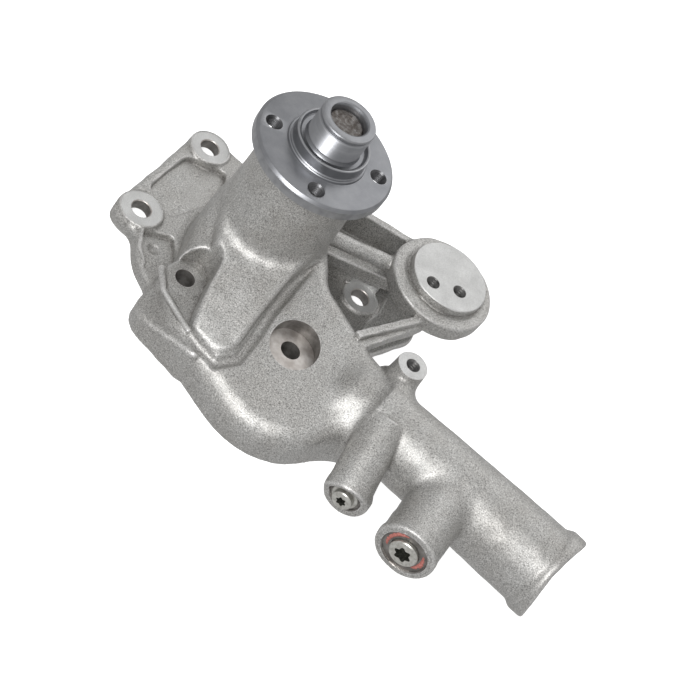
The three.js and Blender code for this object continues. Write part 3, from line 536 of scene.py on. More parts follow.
def add_outlet(body):
    """Outlet pipe with its lip and the two plug bosses."""
    y, z = PIPE_Y, PIPE_HEIGHT
    lip = PIPE_RADIUS + LIP_RISE
    lip_start = PIPE_END - LIP_LENGTH
    body.add(rod((88, y, z), (PIPE_NECK, y, z), 14, PIPE_ROOT_RADIUS, 6), 12)
    body.add(rod((PIPE_NECK - 8, y, z), (lip_start + 4, y, z), PIPE_ROOT_RADIUS, PIPE_RADIUS, 0), 7)
    body.add(rod((lip_start, y, z), (PIPE_END + 4, y, z), lip, lip, 3), 3)
    body.add(rod((SMALL_X - 9, -50, SMALL_Z + 18), (SMALL_X, SMALL_BOSS_END, SMALL_Z), 12, 13, 1.2), 1.2)
    start, end = (SMALL_X, SMALL_BOSS_END + 7, SMALL_Z), (SMALL_X, SMALL_BOSS_END, SMALL_Z)
    body.add(rod(start, end, 13.4, 13.4, 1.4), 1)
    body.add(rod((LARGE_X, y, LARGE_Z + 2), (LARGE_X, LARGE_BOSS_END, LARGE_Z), 17, 17, 1.2), 5)
    start, end = (LARGE_X, LARGE_BOSS_END + 5.5, LARGE_Z), (LARGE_X, LARGE_BOSS_END, LARGE_Z)
    body.add(rod(start, end, 17.5, 17.5, 1.6), 1)


def add_cores(body):
    """Hollows that the sand cores leave."""
    y, z = PIPE_Y, PIPE_HEIGHT
    body.cut(prism(BULGE_POCKET, -20, 13, 2.5), 3)
    body.cut(prism(CHANNEL, 14, CHAMBER_DEPTH, 2.5), 3)
    body.cut(drum(0, 0, -20, CHAMBER_DEPTH, CHAMBER_RADIUS, CHAMBER_RADIUS, 2), 2)
    body.cut(rod((PIPE_NECK - 4, y, z), (PIPE_END + 20, y, z), PIPE_BORE, PIPE_BORE, 2), 2)
    reach = PIPE_RADIUS + LIP_RISE
    radius = (reach ** 2 + SADDLE_DEPTH ** 2) / (2 * SADDLE_DEPTH)
    centre = PIPE_END + radius - SADDLE_DEPTH
    across = 60 * np.array((0, math.cos(SADDLE_TURN), -math.sin(SADDLE_TURN)))
    middle = np.array((centre, y, z))
    body.cut(rod(middle - across, middle + across, radius), 2.5)


def roughen(body):
    """Gentle unevenness of a sand mould, as smoothed random lumps."""
    rng = np.random.default_rng(7)
    for pitch, height in ((14.0, 0.16), (6.0, 0.12)):
        count = np.ceil(body.shape * CELL / pitch).astype(int) + 2
        coarse = rng.standard_normal(count).astype(np.float32)
        for axis in range(3):
            place = np.arange(body.shape[axis]) * CELL / pitch
            low = place.astype(int)
            share = (place - low).astype(np.float32)
            share = share * share * (3 - 2 * share)
            shape = [1, 1, 1]
            shape[axis] = -1
            share = share.reshape(shape)
            coarse = np.take(coarse, low, axis) * (1 - share) + np.take(coarse, low + 1, axis) * share
        body.values += height * coarse


# ------------ machined features
MACHINED = 1
# Slots 2 to 4 paint light and shade in the holes: dark walls for painted shade, lighter level floors for
# painted light, darkest tapped holes.
BORE_PAINTED_SHADE = 2
SEAT_PAINTED_LIGHT = 3
TAP_PAINTED_SHADE = 4
INSIDE = 1  # second slot of the hub, the plugs and the shaft: holes, sockets and the shaft's end


def turned(profile, sides=96):
    """Vertices and faces of a profile of (radius, height) points turned about the shaft axis."""
    vertices, rows = [], []
    for radius, z in profile:
        if radius < 1e-6:
            rows.append([len(vertices)])
            vertices.append((0.0, 0.0, z))
            continue
        rows.append(list(range(len(vertices), len(vertices) + sides)))
        for i in range(sides):
            turn = 2 * math.pi * i / sides
            vertices.append((radius * math.cos(turn), radius * math.sin(turn), z))
    faces = []
    for low, high in zip(rows, rows[1:] + rows[:1]):
        for i in range(sides):
            j = (i + 1) % sides
            if len(low) == 1 and len(high) == 1:
                continue
            if len(low) == 1:
                faces.append((low[0], high[j], high[i]))
            elif len(high) == 1:
                faces.append((low[i], low[j], high[0]))
            else:
                faces.append((low[i], low[j], high[j], high[i]))
    return np.array(vertices), faces


def turned_object(name, profile, start=(0, 0, 0), along=(0, 0, 1), sides=96):
    """A turned body whose axis starts at a local point and points along a direction."""
    vertices, faces = turned(profile, sides)
    turn = Vector((0, 0, 1)).rotation_difference(Vector(along).normalized()).to_matrix()
    vertices = vertices @ np.array(turn).T + np.array(start, float)
    made = mesh_object(name, vertices, faces)
    face_outward(made)
    return made


def face_outward(made):
    """Turns a closed mesh's faces outwards."""
    mesh = made.data
    volume = 0.0
    for face in mesh.polygons:
        corner = [mesh.vertices[i].co for i in face.vertices]
        for b, c in zip(corner[1:-1], corner[2:]):
            volume += corner[0].dot(b.cross(c))
    if volume < 0:
        mesh.flip_normals()


def thread(radius, start, end, pitch, depth):
    """Profile points of thread rings on a bore or a pin, from start to end."""
    count = int(round(abs(end - start) / pitch))
    step = (end - start) / count
    points = []
    for i in range(count):
        points += [(radius, start + (i + 0.15) * step), (radius + depth, start + (i + 0.5) * step)]
    return points + [(radius, end)]


def pin_cutter(radius, top, bottom, mouth=0.0, tapped=False, reach=60.0):
    """Profile of a hole cutter, with a chamfered mouth at its top and, if tapped, thread rings."""
    points = [(0, bottom - radius * 0.35), (radius, bottom)]
    if tapped:
        points += thread(radius, bottom + 1, top - mouth, 1.25, 0.55)
    else:
        points.append((radius, top - mouth))
    if mouth:
        points.append((radius + mouth, top))
        points.append((radius + mouth, top + reach))
    else:
        points.append((radius, top + reach))
    return points + [(0, top + reach)]


def disc_profile(radius, low, high):
    """Profile of a plain disc or cylinder."""
    return [(0, low), (radius, low), (radius, high), (0, high)]


def cut_with(target, cutters, slot):
    """Cuts target by each cutter.

    The new faces take the given material slot, apart from the level floors of bored holes, which take the
    lighter seat slot: painted light on the floors, painted shade on the walls.
    """
    for cutter in cutters:
        for material in target.data.materials:
            cutter.data.materials.append(material)
        for face in cutter.data.polygons:
            face.material_index = SEAT_PAINTED_LIGHT if slot == BORE_PAINTED_SHADE and abs(face.normal.z) > 0.7 else slot
    group = bpy.data.collections.new("cutters")
    for cutter in cutters:
        group.objects.link(cutter)
    change = target.modifiers.new("cut", "BOOLEAN")
    change.operation = "DIFFERENCE"
    change.solver = "MANIFOLD"
    change.operand_type = "COLLECTION"
    change.collection = group
    bpy.context.view_layer.update()
    evaluated = target.evaluated_get(bpy.context.evaluated_depsgraph_get())
    mesh = bpy.data.meshes.new_from_object(evaluated)
    target.modifiers.clear()
    target.data = mesh
    for cutter in cutters:
        bpy.data.objects.remove(cutter)
    bpy.data.collections.remove(group)


def flat_cutters():
    """Milled flats: mounting face, spot faces, disc face, stud face and tower rim."""
    centre = (75, -10)
    made = [turned_object("c", disc_profile(MILLED_REACH, -80, 0), (*centre, 0), sides=24)]
    for x, y, radius, top in BOLTS.values():
        if top == EAR_TOP:
            made.append(turned_object("c", disc_profile(radius - 0.8, top, top + 5), (x, y, 0)))
    face_x, face_y, face_radius = FACE
    made.append(turned_object("c", [
        (0, FACE_TOP), (face_radius - FACE_CHAMFER, FACE_TOP),
        (face_radius + 3, FACE_TOP - 3 - FACE_CHAMFER),
        (face_radius + 6, FACE_TOP + 6), (0, FACE_TOP + 6),
    ], (face_x, face_y, 0)))
    made.append(turned_object("c", disc_profile(STUD_FACE_REACH, STUD_TOP, STUD_TOP + 8), (*STUD[:2], 0)))
    made.append(turned_object("c", disc_profile(TOWER_RADIUS + 12, TOWER_TOP, TOWER_TOP + 12)))
    return made


def bore_cutters():
    """Drilled, bored and tapped holes."""
    made = []
    for x, y, _, top in BOLTS.values():
        mouth = 0.5 if top == EAR_TOP else 0.0
        hole = pin_cutter(BOLT_HOLE_RADIUS, top, -6, mouth, reach=4)
        made.append(turned_object("c", hole, (x, y, 0)))
        if top == EAR_TOP:
            radius, depth = SLEEVE_RECESS
            made.append(turned_object("c", disc_profile(radius, -9, depth), (x, y, 0)))
    x, y, _, seat = BOLTS["counterbored"]
    made.append(turned_object("c", disc_profile(COUNTERBORE_RADIUS, seat, seat + 40), (x, y, 0)))
    stop, sleeve, mouth = SHAFT_RADIUS + BEARING_STOP, SLEEVE_RADIUS + FIT, SLEEVE_RADIUS + 1.2
    made.append(turned_object("c", [
        (0, CHAMBER_DEPTH - 2), (SEAL_BORE_RADIUS, CHAMBER_DEPTH - 2), (SEAL_BORE_RADIUS, SEAL_ROOF),
        (stop, SEAL_ROOF), (stop, SLEEVE_LOW.z), (sleeve, SLEEVE_LOW.z), (sleeve, TOWER_TOP - 1),
        (mouth, TOWER_TOP + 0.05), (mouth, TOWER_TOP + 9), (0, TOWER_TOP + 9),
    ]))
    made.append(turned_object("c", disc_profile(CHAMBER_RADIUS, -9, CHAMBER_DEPTH - 1.2)))
    vent = np.array(VENT_WAY)
    vent = vent / np.linalg.norm(vent)
    made.append(turned_object("c", disc_profile(VENT_RADIUS, 0, 60), (0, 0, TOWER_TOP), vent, 32))
    for place, seat, screw in (
        ((SMALL_X, SMALL_BOSS_END, SMALL_Z), SMALL_SEAT_RADIUS, SMALL_SCREW_RADIUS),
        ((LARGE_X, LARGE_BOSS_END, LARGE_Z), LARGE_SEAT_RADIUS, LARGE_SCREW_RADIUS),
    ):
        made.append(turned_object("c", [
            (0, -12), (seat + 0.5, -12), (seat + 0.5, 0), (seat, 0.5), (seat, SEAT_SINK),
            (screw + FIT, SEAT_SINK), (screw + FIT, SCREW_HOLE_DEPTH), (0, SCREW_HOLE_DEPTH),
        ], place, (0, 1, 0)))
    return made


def tap_cutters():
    """Tapped holes of the disc and the stud boss."""
    places = [(x, y, FACE_TOP) for x, y in DISC_TAPS] + [(STUD[0], STUD[1], STUD_TOP)]
    return [turned_object("c", pin_cutter(TAP_RADIUS, top, top - TAP_DEPTH, 0.6, True), (x, y, 0))
            for x, y, top in places]


def finish_edges(made, degrees=32):
    """Smooth shading that breaks at machined edges."""
    made.data.polygons.foreach_set("use_smooth", np.ones(len(made.data.polygons), bool))
    made.data.set_sharp_from_angle(angle=math.radians(degrees))


# ------------ materials
class Graph:
    """A material's node tree with short calls for the nodes used here."""

    def __init__(self, name):
        self.material = bpy.data.materials.new(name)
        self.material.use_nodes = True
        self.tree = self.material.node_tree
        self.shader = next(n for n in self.tree.nodes if n.type == "BSDF_PRINCIPLED")
        coordinates = self.tree.nodes.new("ShaderNodeTexCoord")
        self.place = coordinates.outputs["Object"]

    def node(self, kind, inputs=(), **settings):
        """New node. An input is a value, or a socket to link."""
        made = self.tree.nodes.new(kind)
        for key, value in settings.items():
            setattr(made, key, value)
        for key, value in dict(inputs).items():
            if isinstance(value, bpy.types.NodeSocket):
                self.tree.links.new(value, made.inputs[key])
            else:
                made.inputs[key].default_value = value
        return made

    def noise(self, scale, detail=2.0, roughness=0.5, place=None):
        made = self.node("ShaderNodeTexNoise", {
            "Vector": place or self.place, "Scale": scale, "Detail": detail, "Roughness": roughness})
        return made.outputs["Fac"]

    def ramp(self, value, stops):
        made = self.node("ShaderNodeValToRGB", {"Fac": value})
        ramp = made.color_ramp
        while len(ramp.elements) < len(stops):
            ramp.elements.new(0.5)
        for element, (position, colour) in zip(ramp.elements, stops):
            element.position = position
            element.color = (*colour, 1) if isinstance(colour, tuple) else (colour, colour, colour, 1)
        return made.outputs["Color"]

    def mix(self, share, first, second, blend="MIX"):
        made = self.node("ShaderNodeMix", data_type="RGBA", blend_type=blend)
        for socket, value in ((made.inputs[0], share), (made.inputs[6], first), (made.inputs[7], second)):
            if isinstance(value, bpy.types.NodeSocket):
                self.tree.links.new(value, socket)
            else:
                socket.default_value = (*value, 1) if isinstance(value, tuple) else value
        return made.outputs[2]

    def math(self, operation, first, second):
        made = self.node("ShaderNodeMath", {0: first, 1: second}, operation=operation)
        return made.outputs[0]

    def span(self, value, low, high):
        """Value from 0..1 mapped to low..high."""
        made = self.node("ShaderNodeMapRange", {"Value": value, "To Min": low, "To Max": high})
        return made.outputs["Result"]

    def radius(self):
        """Distance from the shaft axis, in metres."""
        moved = self.node("ShaderNodeVectorMath", {0: self.place, 1: (ORIGIN.x, ORIGIN.y, 0)},
                          operation="SUBTRACT").outputs[0]
        flat = self.node("ShaderNodeVectorMath", {0: moved, 1: (1, 1, 0)}, operation="MULTIPLY").outputs[0]
        return self.node("ShaderNodeVectorMath", {0: flat}, operation="LENGTH").outputs["Value"]

    def edges(self, low, high):
        """0 in hollows and 1 on outer edges, from the shape of the mesh."""
        shape = self.node("ShaderNodeNewGeometry").outputs["Pointiness"]
        made = self.node("ShaderNodeMapRange", {"Value": shape, "From Min": low, "From Max": high})
        return made.outputs["Result"]

    def finish(self, colour, roughness, metallic, height=None, distance=0.0002, strength=0.4):
        """Sets the shader's values and its bump, and gives the material."""
        sockets = self.shader.inputs
        for key, value in (("Base Color", colour), ("Roughness", roughness), ("Metallic", metallic)):
            if isinstance(value, bpy.types.NodeSocket):
                self.tree.links.new(value, sockets[key])
            else:
                sockets[key].default_value = (*value, 1) if isinstance(value, tuple) else value
        if height is not None:
            bump = self.node("ShaderNodeBump", {"Height": height, "Distance": distance, "Strength": strength})
            self.tree.links.new(bump.outputs["Normal"], sockets["Normal"])
        return self.material


def cast_aluminium():
    """Sand-cast skin: speckled grain, cloudy tone, painted shade in the hollows and rubbed edges."""
    g = Graph("cast_aluminium")
    grain = g.noise(1500, 3, 0.65)
    fine = g.noise(3200, 1, 0.5)
    clouds = g.noise(48, 4, 0.6)
    speckle = g.ramp(grain, [
        (0.30, (0.15, 0.148, 0.145)), (0.47, (0.42, 0.417, 0.41)), (0.72, (0.78, 0.775, 0.77))])
    tone = g.ramp(clouds, [(0.3, (0.84, 0.825, 0.80)), (0.7, (1.0, 0.998, 0.985))])
    base = g.mix(1.0, speckle, tone, "MULTIPLY")
    # Painted shade: the casting's colour is darker in its hollows, from the mesh's pointiness.
    painted_hollow_shade = g.ramp(g.edges(0.44, 0.50), [(0.0, (0.40, 0.385, 0.37)), (1.0, (1.0, 1.0, 1.0))])
    base = g.mix(0.8, base, painted_hollow_shade, "MULTIPLY")
    rubbed = g.math("MULTIPLY", g.edges(0.515, 0.56), g.noise(220, 3, 0.6))
    base = g.mix(rubbed, base, (0.86, 0.85, 0.84))
    roughness = g.span(grain, 0.34, 0.56)
    height = g.math("ADD", g.math("MULTIPLY", grain, 0.75), g.math("MULTIPLY", fine, 0.25))
    return g.finish(base, roughness, 0.72, height, 0.00035, 0.55)


def milled_aluminium():
    """Face cut flat: brighter, with faint tool marks and scattered scratches."""
    g = Graph("milled_aluminium")
    marks = g.noise(700, 2, 0.5, g.node("ShaderNodeVectorMath", {0: g.place, 1: (1, 7, 1)},
                                        operation="MULTIPLY").outputs[0])
    grain = g.noise(1900, 3, 0.7)
    tone = g.ramp(g.noise(90, 3), [(0.3, (0.62, 0.62, 0.615)), (0.7, (0.76, 0.76, 0.755))])
    pits = g.ramp(grain, [(0.35, (0.42, 0.42, 0.41)), (0.65, (0.90, 0.90, 0.89))])
    base = g.mix(0.55, tone, pits, "MULTIPLY")
    return g.finish(base, g.span(marks, 0.42, 0.62), 0.5, g.math("ADD", marks, grain), 0.00014, 0.4)


def bore_aluminium_painted_shading(name, dark, light):
    """Inside of holes, with rings from the tool and a brownish mottled film. The two given colours paint
    light and shade: darker for the shaded walls of holes, lighter for their lit floors.
    """
    g = Graph(name)
    rings = g.node("ShaderNodeTexWave", {"Vector": g.place, "Scale": 420, "Distortion": 1.2, "Detail": 2},
                   bands_direction="Z").outputs["Fac"]
    film = g.ramp(g.noise(160, 4, 0.6), [(0.35, dark), (0.7, light)])
    base = g.mix(0.3, film, g.ramp(rings, [(0.2, 0.5), (0.8, 1.0)]), "MULTIPLY")
    return g.finish(base, g.span(rings, 0.35, 0.6), 0.75, rings, 0.0002, 0.3)


def turned_steel():
    """Satin turned steel with fine rings about the shaft axis."""
    g = Graph("turned_steel")
    height = g.node("ShaderNodeSeparateXYZ", {0: g.place}).outputs["Z"]
    across = g.math("ADD", g.radius(), g.math("MULTIPLY", height, 0.8))
    rings = g.node("ShaderNodeTexNoise", {"W": across, "Scale": 5200, "Detail": 3},
                   noise_dimensions="1D").outputs["Fac"]
    patches = g.noise(70, 4, 0.6)
    tone = g.ramp(patches, [(0.3, (0.25, 0.255, 0.27)), (0.7, (0.34, 0.345, 0.36))])
    base = g.mix(0.45, tone, g.ramp(rings, [(0.3, 0.72), (0.7, 1.0)]), "MULTIPLY")
    worn = g.math("MULTIPLY", g.edges(0.53, 0.62), g.ramp(g.noise(260, 3), [(0.35, 0.3), (0.6, 1.0)]))
    base = g.mix(worn, base, (0.66, 0.665, 0.675))
    return g.finish(base, g.span(patches, 0.30, 0.44), 0.95, rings, 0.00008, 0.22)


def ground_steel(name="ground_steel", colour=(0.56, 0.565, 0.575), rough=(0.16, 0.32), scale=300):
    """Bright steel with a faint smear of grinding marks."""
    g = Graph(name)
    smear = g.noise(scale, 4, 0.6)
    dark = tuple(0.72 * c for c in colour)
    base = g.ramp(smear, [(0.3, dark), (0.7, colour)])
    return g.finish(base, g.span(smear, *rough), 0.97, g.noise(scale * 6, 2), 0.00005, 0.2)


def shaft_end():
    """Rusty-brown shaft end with swirled scratches."""
    g = Graph("shaft_end")
    rings = g.node("ShaderNodeTexNoise", {"W": g.radius(), "Scale": 2600, "Detail": 4},
                   noise_dimensions="1D").outputs["Fac"]
    blotch = g.noise(420, 4, 0.65)
    base = g.ramp(blotch, [
        (0.32, (0.070, 0.058, 0.048)), (0.5, (0.165, 0.150, 0.140)), (0.72, (0.34, 0.33, 0.32))])
    base = g.mix(0.5, base, g.ramp(rings, [(0.35, 0.55), (0.65, 1.0)]), "MULTIPLY")
    return g.finish(base, g.span(blotch, 0.3, 0.6), 0.85, rings, 0.0002, 0.5)


def zinc_plate():
    """Zinc-plated screw steel, slightly yellow and mottled, with painted shade in its hollows."""
    g = Graph("zinc_plate")
    mottle = g.noise(520, 3, 0.6)
    base = g.ramp(mottle, [(0.3, (0.42, 0.41, 0.375)), (0.7, (0.68, 0.675, 0.64))])
    # Painted shade: the plug's colour is darker in its hollows, from the mesh's pointiness.
    painted_hollow_shade = g.ramp(g.edges(0.42, 0.50), [(0.0, 0.35), (1.0, 1.0)])
    base = g.mix(0.8, base, painted_hollow_shade, "MULTIPLY")
    return g.finish(base, g.span(mottle, 0.28, 0.5), 0.85, mottle, 0.0001, 0.3)


def socket_painted_shade():
    """Dark inside of a screw socket: painted shade."""
    g = Graph("socket_painted_shade")
    film = g.noise(700, 3, 0.6)
    base = g.ramp(film, [(0.3, (0.035, 0.036, 0.030)), (0.7, (0.115, 0.118, 0.10))])
    return g.finish(base, g.span(film, 0.35, 0.6), 0.7, film, 0.0001, 0.3)


def plain_finish(name, low, high, rough, metallic, scale, distance=0.0001, strength=0.3):
    """Mottled finish between two colours, for the inner pieces."""
    g = Graph(name)
    mottle = g.noise(scale, 4, 0.6)
    grain = g.noise(scale * 5, 2, 0.5)
    base = g.ramp(mottle, [(0.3, low), (0.7, high)])
    return g.finish(base, g.span(grain, *rough), metallic, grain, distance, strength)


# ------------ turned and screwed pieces
def hub_profile():
    """Closed section of the pulley hub, from the foot of its bore round to the bore again."""
    bore = SHAFT_RADIUS + FIT
    step, collar, nose, edge = STEP_RADIUS, COLLAR_RADIUS, NOSE_RADIUS, HUB_RADIUS
    step_top = HUB_FACE + STEP_HEIGHT
    groove_floor = COLLAR_TOP - COLLAR_GROOVE
    rim_foot = NOSE_TOP - NOSE_RIM
    rim = [(nose - 0.1, rim_foot), (nose, rim_foot + 0.5), (nose, NOSE_TOP - 1.0),
           (nose - 0.4, NOSE_TOP - 0.35), (nose - 1.2, NOSE_TOP), (bore + 1.5, NOSE_TOP),
           (bore + 0.7, NOSE_TOP - 0.4), (bore + 0.25, NOSE_TOP - 1.3)]
    screw = thread(nose - 0.5, groove_floor + 2.0, rim_foot - 1.4, THREAD_PITCH, THREAD_DEPTH)
    return [
        (bore, HUB_LOW.z), (HUB_BACK_RADIUS, HUB_LOW.z), (HUB_BACK_RADIUS, HUB_BACK),
        (edge - 0.8, HUB_BACK), (edge, HUB_BACK + 0.8), (edge, HUB_FACE - 1.7),
        (edge - 0.25, HUB_FACE - 1.3), (edge - 1.4, HUB_FACE - 0.15), (edge - 1.8, HUB_FACE),
        (step + 0.9, HUB_FACE), (step + 0.25, HUB_FACE + 0.2), (step, HUB_FACE + 0.8),
        (step, step_top - 0.4), (step - 0.4, step_top), (collar + 0.5, step_top), (collar, step_top + 0.6),
        (collar, COLLAR_TOP - 0.7), (collar - 0.25, COLLAR_TOP - 0.2), (collar - 0.9, COLLAR_TOP),
        (collar - 1.6, COLLAR_TOP - 0.2), (collar - 2.4, groove_floor + 0.4), (collar - 3.0, groove_floor),
        (nose + 0.7, groove_floor), (nose, groove_floor + 0.9), *screw, (nose - 1.0, rim_foot - 1.0),
        (nose - 1.0, rim_foot - 0.3), *rim, (bore, NOSE_TOP - 2.0),
    ]


def build_hub(material, bore):
    """Turned hub with its four tapped holes."""
    hub = turned_object("pulley_hub_turned", hub_profile(), sides=160)
    hub.data.materials.append(material)
    cutters = []
    for i in range(HUB_HOLES):
        turn = HUB_HOLE_TURN + i * 2 * math.pi / HUB_HOLES
        place = (HUB_HOLE_CIRCLE * math.cos(turn), HUB_HOLE_CIRCLE * math.sin(turn), 0)
        hole = pin_cutter(HUB_HOLE_RADIUS, HUB_FACE, HUB_BACK - 4, 0.9, True)
        cutters.append(turned_object("c", hole, place, sides=48))
    # The second slot's dark steel paints the shade inside the hub's holes.
    hub.data.materials.append(bore)
    cut_with(hub, cutters, INSIDE)
    finish_edges(hub, 24)
    return hub


def build_shaft(steel, end):
    """Bearing shaft with chamfered ends and a centre mark, its ball track included."""
    ball_low, ball_high = local_box("bearing_ball_1")
    row = (ball_low.z + ball_high.z) / 2
    pitch = (ball_low.x + ball_high.x) / 2
    track = (ball_high.z - ball_low.z) / 2 + 0.35
    half = math.sqrt(track ** 2 - (SHAFT_RADIUS - pitch) ** 2)
    groove = [(pitch - math.sqrt(track ** 2 - rise ** 2), row + rise) for rise in np.linspace(-half, half, 9)]
    made = turned_object("pump_shaft_ground", [
        (0, SHAFT_BOTTOM + 2.6), (1.6, SHAFT_BOTTOM), (SHAFT_RADIUS - 1, SHAFT_BOTTOM),
        (SHAFT_RADIUS, SHAFT_BOTTOM + 1), *groove, (SHAFT_RADIUS, SHAFT_TOP - 0.9),
        (SHAFT_RADIUS - 0.9, SHAFT_TOP), (6.4, SHAFT_TOP), (6.0, SHAFT_TOP - 0.35),
        (3.2, SHAFT_TOP - 0.35), (2.6, SHAFT_TOP - 0.5),
        (0, SHAFT_TOP - 0.8),
    ], sides=96)
    made.data.materials.append(steel)
    made.data.materials.append(end)
    limit = (SHAFT_TOP - 1.2) * MM + ORIGIN.z
    for face in made.data.polygons:
        face.material_index = INSIDE if face.center.z > limit else 0
    finish_edges(made, 30)
    return made


def star_socket(radius, low, high):
    """Six-lobed prism that cuts a screw's socket."""
    steps = 72
    ring = []
    for i in range(steps):
        turn = 2 * math.pi * i / steps
        away = radius * (0.86 + 0.14 * math.cos(6 * turn))
        ring.append((away * math.cos(turn), away * math.sin(turn)))
    vertices = [(x, y, low) for x, y in ring] + [(x, y, high) for x, y in ring]
    faces = [(i, (i + 1) % steps, steps + (i + 1) % steps, steps + i) for i in range(steps)]
    faces += [tuple(reversed(range(steps))), tuple(range(steps, 2 * steps))]
    return np.array(vertices), faces


def build_plug(name, low, high, radius, head, collar, socket, material, dark):
    """Screw plug pointing along -Y: thread, thin collar and round head with a star socket."""
    x, z = axis_place(low, high)
    face = low.y
    seat = face + head
    collar_foot = seat - COLLAR_THICKNESS
    points = [
        (0, face), (radius - 1.4, face), (radius - 0.5, face + 0.25), (radius, face + 0.9),
        (radius, collar_foot - 0.3),
    ]
    if collar > radius + 0.1:
        points += [(collar - 0.3, collar_foot), (collar, collar_foot + 0.3),
                   (collar, seat - 0.2), (collar - 0.2, seat)]
    points += [(radius - 0.5, seat + 0.1)]
    points += thread(radius - 0.55, seat + 0.6, high.y - 1, 1.5, 0.5)
    points += [(radius - 1.2, high.y), (0, high.y)]
    made = turned_object(name, points, (x, 0, z), (0, 1, 0), 72)
    # The second finish is near-black, painting the shade inside the socket.
    for finish in (material, dark):
        made.data.materials.append(finish)
    vertices, faces = star_socket(socket, face - 2, face + 5)
    turn = Vector((0, 0, 1)).rotation_difference(Vector((0, 1, 0))).to_matrix()
    cutter = mesh_object("c", vertices @ np.array(turn).T + np.array((x, 0, z)), faces)
    face_outward(cutter)
    cut_with(made, [cutter], INSIDE)
    finish_edges(made, 30)
    return made


def build_sealant(material):
    """Squeezed-out thread sealant round the large plug: a broken, lumpy ring."""
    face = LARGE_BOSS_END + SEAT_SINK
    rng = np.random.default_rng(11)
    vertices, faces = [], []
    for start, end in ((1.9, 3.7), (5.6, 6.9)):
        steps = 60
        rows = []
        lumps = np.convolve(rng.random(steps + 9), np.ones(4) / 4, "same")[:steps + 1]
        for i in range(steps + 1):
            share = i / steps
            turn = start + (end - start) * share
            taper = math.sin(math.pi * share) ** 0.4
            middle = 10.6 + 0.8 * (lumps[i] - 0.5)
            half = (0.5 + 1.3 * lumps[i]) * taper + 0.02
            rise = (0.15 + 0.7 * lumps[i]) * taper + 0.01
            row = []
            for k in range(8):
                bend = 2 * math.pi * k / 8
                away = middle + half * math.cos(bend)
                up = -rise * math.sin(bend) if math.sin(bend) > 0 else 0.12 * -math.sin(bend)
                row.append(len(vertices))
                place = (LARGE_X + away * math.cos(turn), face + up - 0.02, LARGE_Z + away * math.sin(turn))
                vertices.append(place)
            rows.append(row)
        for a, b in zip(rows, rows[1:]):
            faces += [(a[k], a[(k + 1) % 8], b[(k + 1) % 8], b[k]) for k in range(8)]
        faces += [tuple(reversed(rows[0])), tuple(rows[-1])]
    made = mesh_object("thread_sealant", vertices, faces, material)
    face_outward(made)
    finish_edges(made, 60)
    return made


# ------------ assembly
def build_housing():
    """The casting with its machined faces and holes."""
    vertices, faces = surface_net(close_pinches(casting_field().values))
    housing = mesh_object("pump_housing_cast", vertices, faces)
    # Painted light and shade in the holes: dark bore walls, lighter level floors, darkest tapped holes.
    bored = bore_aluminium_painted_shading("bore_aluminium_painted_shading", (0.16, 0.15, 0.14), (0.34, 0.325, 0.31))
    seat = bore_aluminium_painted_shading("seat_aluminium_painted_light", (0.46, 0.42, 0.39), (0.74, 0.71, 0.68))
    tapped = bore_aluminium_painted_shading("tapped_aluminium_painted_shade", (0.07, 0.068, 0.066), (0.26, 0.255, 0.25))
    for material in (cast_aluminium(), milled_aluminium(), bored, seat, tapped):
        housing.data.materials.append(material)
    cut_with(housing, flat_cutters(), MACHINED)
    cut_with(housing, bore_cutters(), BORE_PAINTED_SHADE)
    # Tapped holes take the darkest bore colour: painted shade inside them.
    cut_with(housing, tap_cutters(), TAP_PAINTED_SHADE)
    finish_edges(housing)
    return housing


housing = build_housing()
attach(housing, "housing")
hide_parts("pump_housing")

hub = build_hub(turned_steel(), ground_steel("drilled_steel_painted_shade", (0.15, 0.15, 0.155), (0.3, 0.45), 400))
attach(hub, "rotor")
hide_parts("pulley_hub")

STEEL = ground_steel()
shaft = build_shaft(STEEL, shaft_end())
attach(shaft, "rotor")
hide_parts("pump_shaft")

ZINC, SOCKET_PAINTED_SHADE = zinc_plate(), socket_painted_shade()
for node, low, high, radius, head, collar, socket in (
    ("small_screw_plug", SMALL_LOW, SMALL_HIGH, SMALL_SCREW_RADIUS, 5.5, 7.6, 3.0),
    ("large_screw_plug", LARGE_LOW, LARGE_HIGH, LARGE_SCREW_RADIUS, 3.0, LARGE_SCREW_RADIUS, 5.0),
):
    plug = build_plug(node + "_detailed", low, high, radius, head, collar, socket, ZINC, SOCKET_PAINTED_SHADE)
    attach(plug, "housing")
    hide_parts(node)

SEALANT = plain_finish("sealant_red", (0.30, 0.075, 0.06), (0.56, 0.22, 0.19), (0.4, 0.7), 0.0, 900)
sealant = build_sealant(SEALANT)
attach(sealant, "housing")

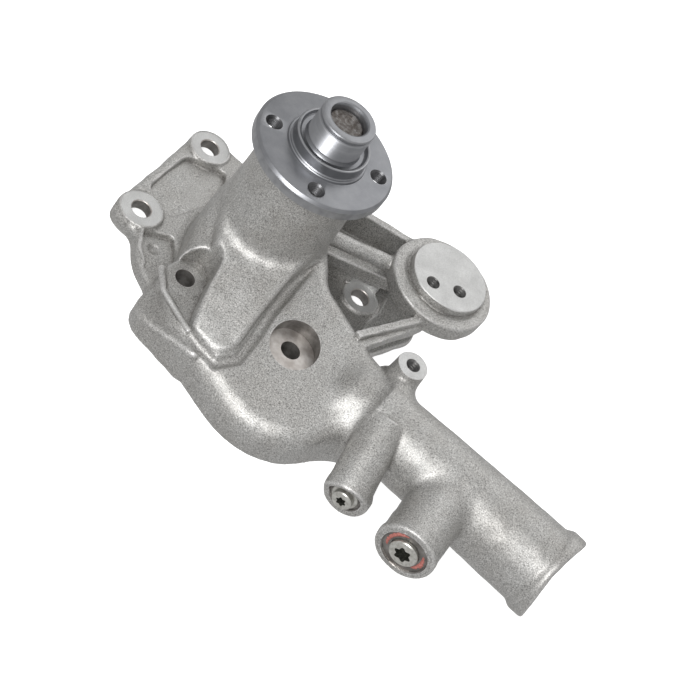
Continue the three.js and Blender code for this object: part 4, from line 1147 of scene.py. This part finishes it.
# The pieces inside keep their CAD shapes and take a finish each.
CERAMIC = plain_finish("seat_ceramic", (0.72, 0.70, 0.64), (0.86, 0.84, 0.79), (0.1, 0.25), 0.0, 150)
CARBON = plain_finish("ring_carbon", (0.02, 0.02, 0.022), (0.05, 0.05, 0.052), (0.25, 0.45), 0.1, 300)
RUBBER = plain_finish("seal_rubber", (0.012, 0.012, 0.013), (0.035, 0.035, 0.036), (0.55, 0.8), 0.0, 260)
NYLON = plain_finish("cage_nylon", (0.58, 0.54, 0.42), (0.72, 0.68, 0.55), (0.4, 0.6), 0.0, 180)
IRON = plain_finish("cast_iron", (0.10, 0.095, 0.09), (0.20, 0.19, 0.18), (0.5, 0.75), 0.7, 420, 0.0003, 0.6)
INNER = {
    "bearing_sleeve": ground_steel("sleeve_steel", (0.50, 0.505, 0.515), (0.2, 0.36), 240),
    "ball_cage": NYLON,
    "roller_cage": NYLON,
    "bearing_seal_front": RUBBER,
    "bearing_seal_rear": RUBBER,
    "impeller": IRON,
    "seal_seat_boot": RUBBER,
    "seal_bellows": RUBBER,
    "seal_ceramic_seat": CERAMIC,
    "seal_carbon_ring": CARBON,
    "seal_cup": plain_finish("cup_brass", (0.42, 0.29, 0.10), (0.62, 0.46, 0.19), (0.2, 0.4), 0.95, 200),
    "seal_spring": ground_steel("spring_steel", (0.45, 0.45, 0.46), (0.25, 0.45), 500),
}
for node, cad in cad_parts.items():
    finish = INNER.get(node, STEEL if node.startswith(("bearing_ball", "bearing_roller")) else None)
    if finish:
        cad.data.materials.clear()
        cad.data.materials.append(finish)

# ------------ floor, light and camera
FLOOR_REACH = 3000
FLOOR_TOP = -0.3
corners = [(x * FLOOR_REACH, y * FLOOR_REACH, FLOOR_TOP) for x, y in ((-1, -1), (1, -1), (1, 1), (-1, 1))]
floor = mesh_object("floor", corners, [(0, 1, 2, 3)])
pale = Graph("pale_floor")
pale.finish(pale.ramp(pale.noise(6), [(0.3, 0.90), (0.7, 0.93)]), 0.8, 0.0)
pale.shader.inputs["Emission Color"].default_value = (1, 1, 1, 1)
pale.shader.inputs["Emission Strength"].default_value = 0.72
floor.data.materials.append(pale.material)
# The floor shows pale to the camera, but throws no light back at the pump.
floor.visible_diffuse = False
floor.visible_glossy = False


def soft_light(name, place, size, power, target=(0, 0, 0.04)):
    """Round area light that faces the target."""
    lamp = bpy.data.lights.new(name, "AREA")
    lamp.shape = "DISK"
    lamp.size = size
    lamp.energy = power
    made = bpy.data.objects.new(name, lamp)
    bpy.context.scene.collection.objects.link(made)
    made.location = place
    made.rotation_euler = (Vector(target) - Vector(place)).to_track_quat("-Z", "Y").to_euler()


soft_light("key", (-0.10, -0.72, 0.74), 0.42, 6.5)
soft_light("back", (0.15, 0.8, 0.8), 1.3, 3)
world = bpy.data.worlds.new("studio")
bpy.context.scene.world = world
world.use_nodes = True
world.node_tree.nodes["Background"].inputs["Color"].default_value = (1, 1, 1, 1)
world.node_tree.nodes["Background"].inputs["Strength"].default_value = 0.57
bpy.context.scene.view_settings.view_transform = "Standard"

ELEVATION = math.radians(45)
ROLL = math.radians(42)
DISTANCE = 0.8627
AIM = Vector((-0.0051, -0.0081, 0.030))
FOCAL_LENGTH = 81.26
lens = bpy.data.cameras.new("camera")
lens.lens = FOCAL_LENGTH
lens.sensor_width = 36
camera = bpy.data.objects.new("camera", lens)
bpy.context.scene.collection.objects.link(camera)
camera.location = AIM + DISTANCE * Vector((0, -math.cos(ELEVATION), math.sin(ELEVATION)))
level = (AIM - camera.location).to_track_quat("-Z", "Y").to_matrix()
camera.rotation_euler = (level @ Matrix.Rotation(ROLL, 3, "Z")).to_euler()
bpy.context.scene.camera = camera
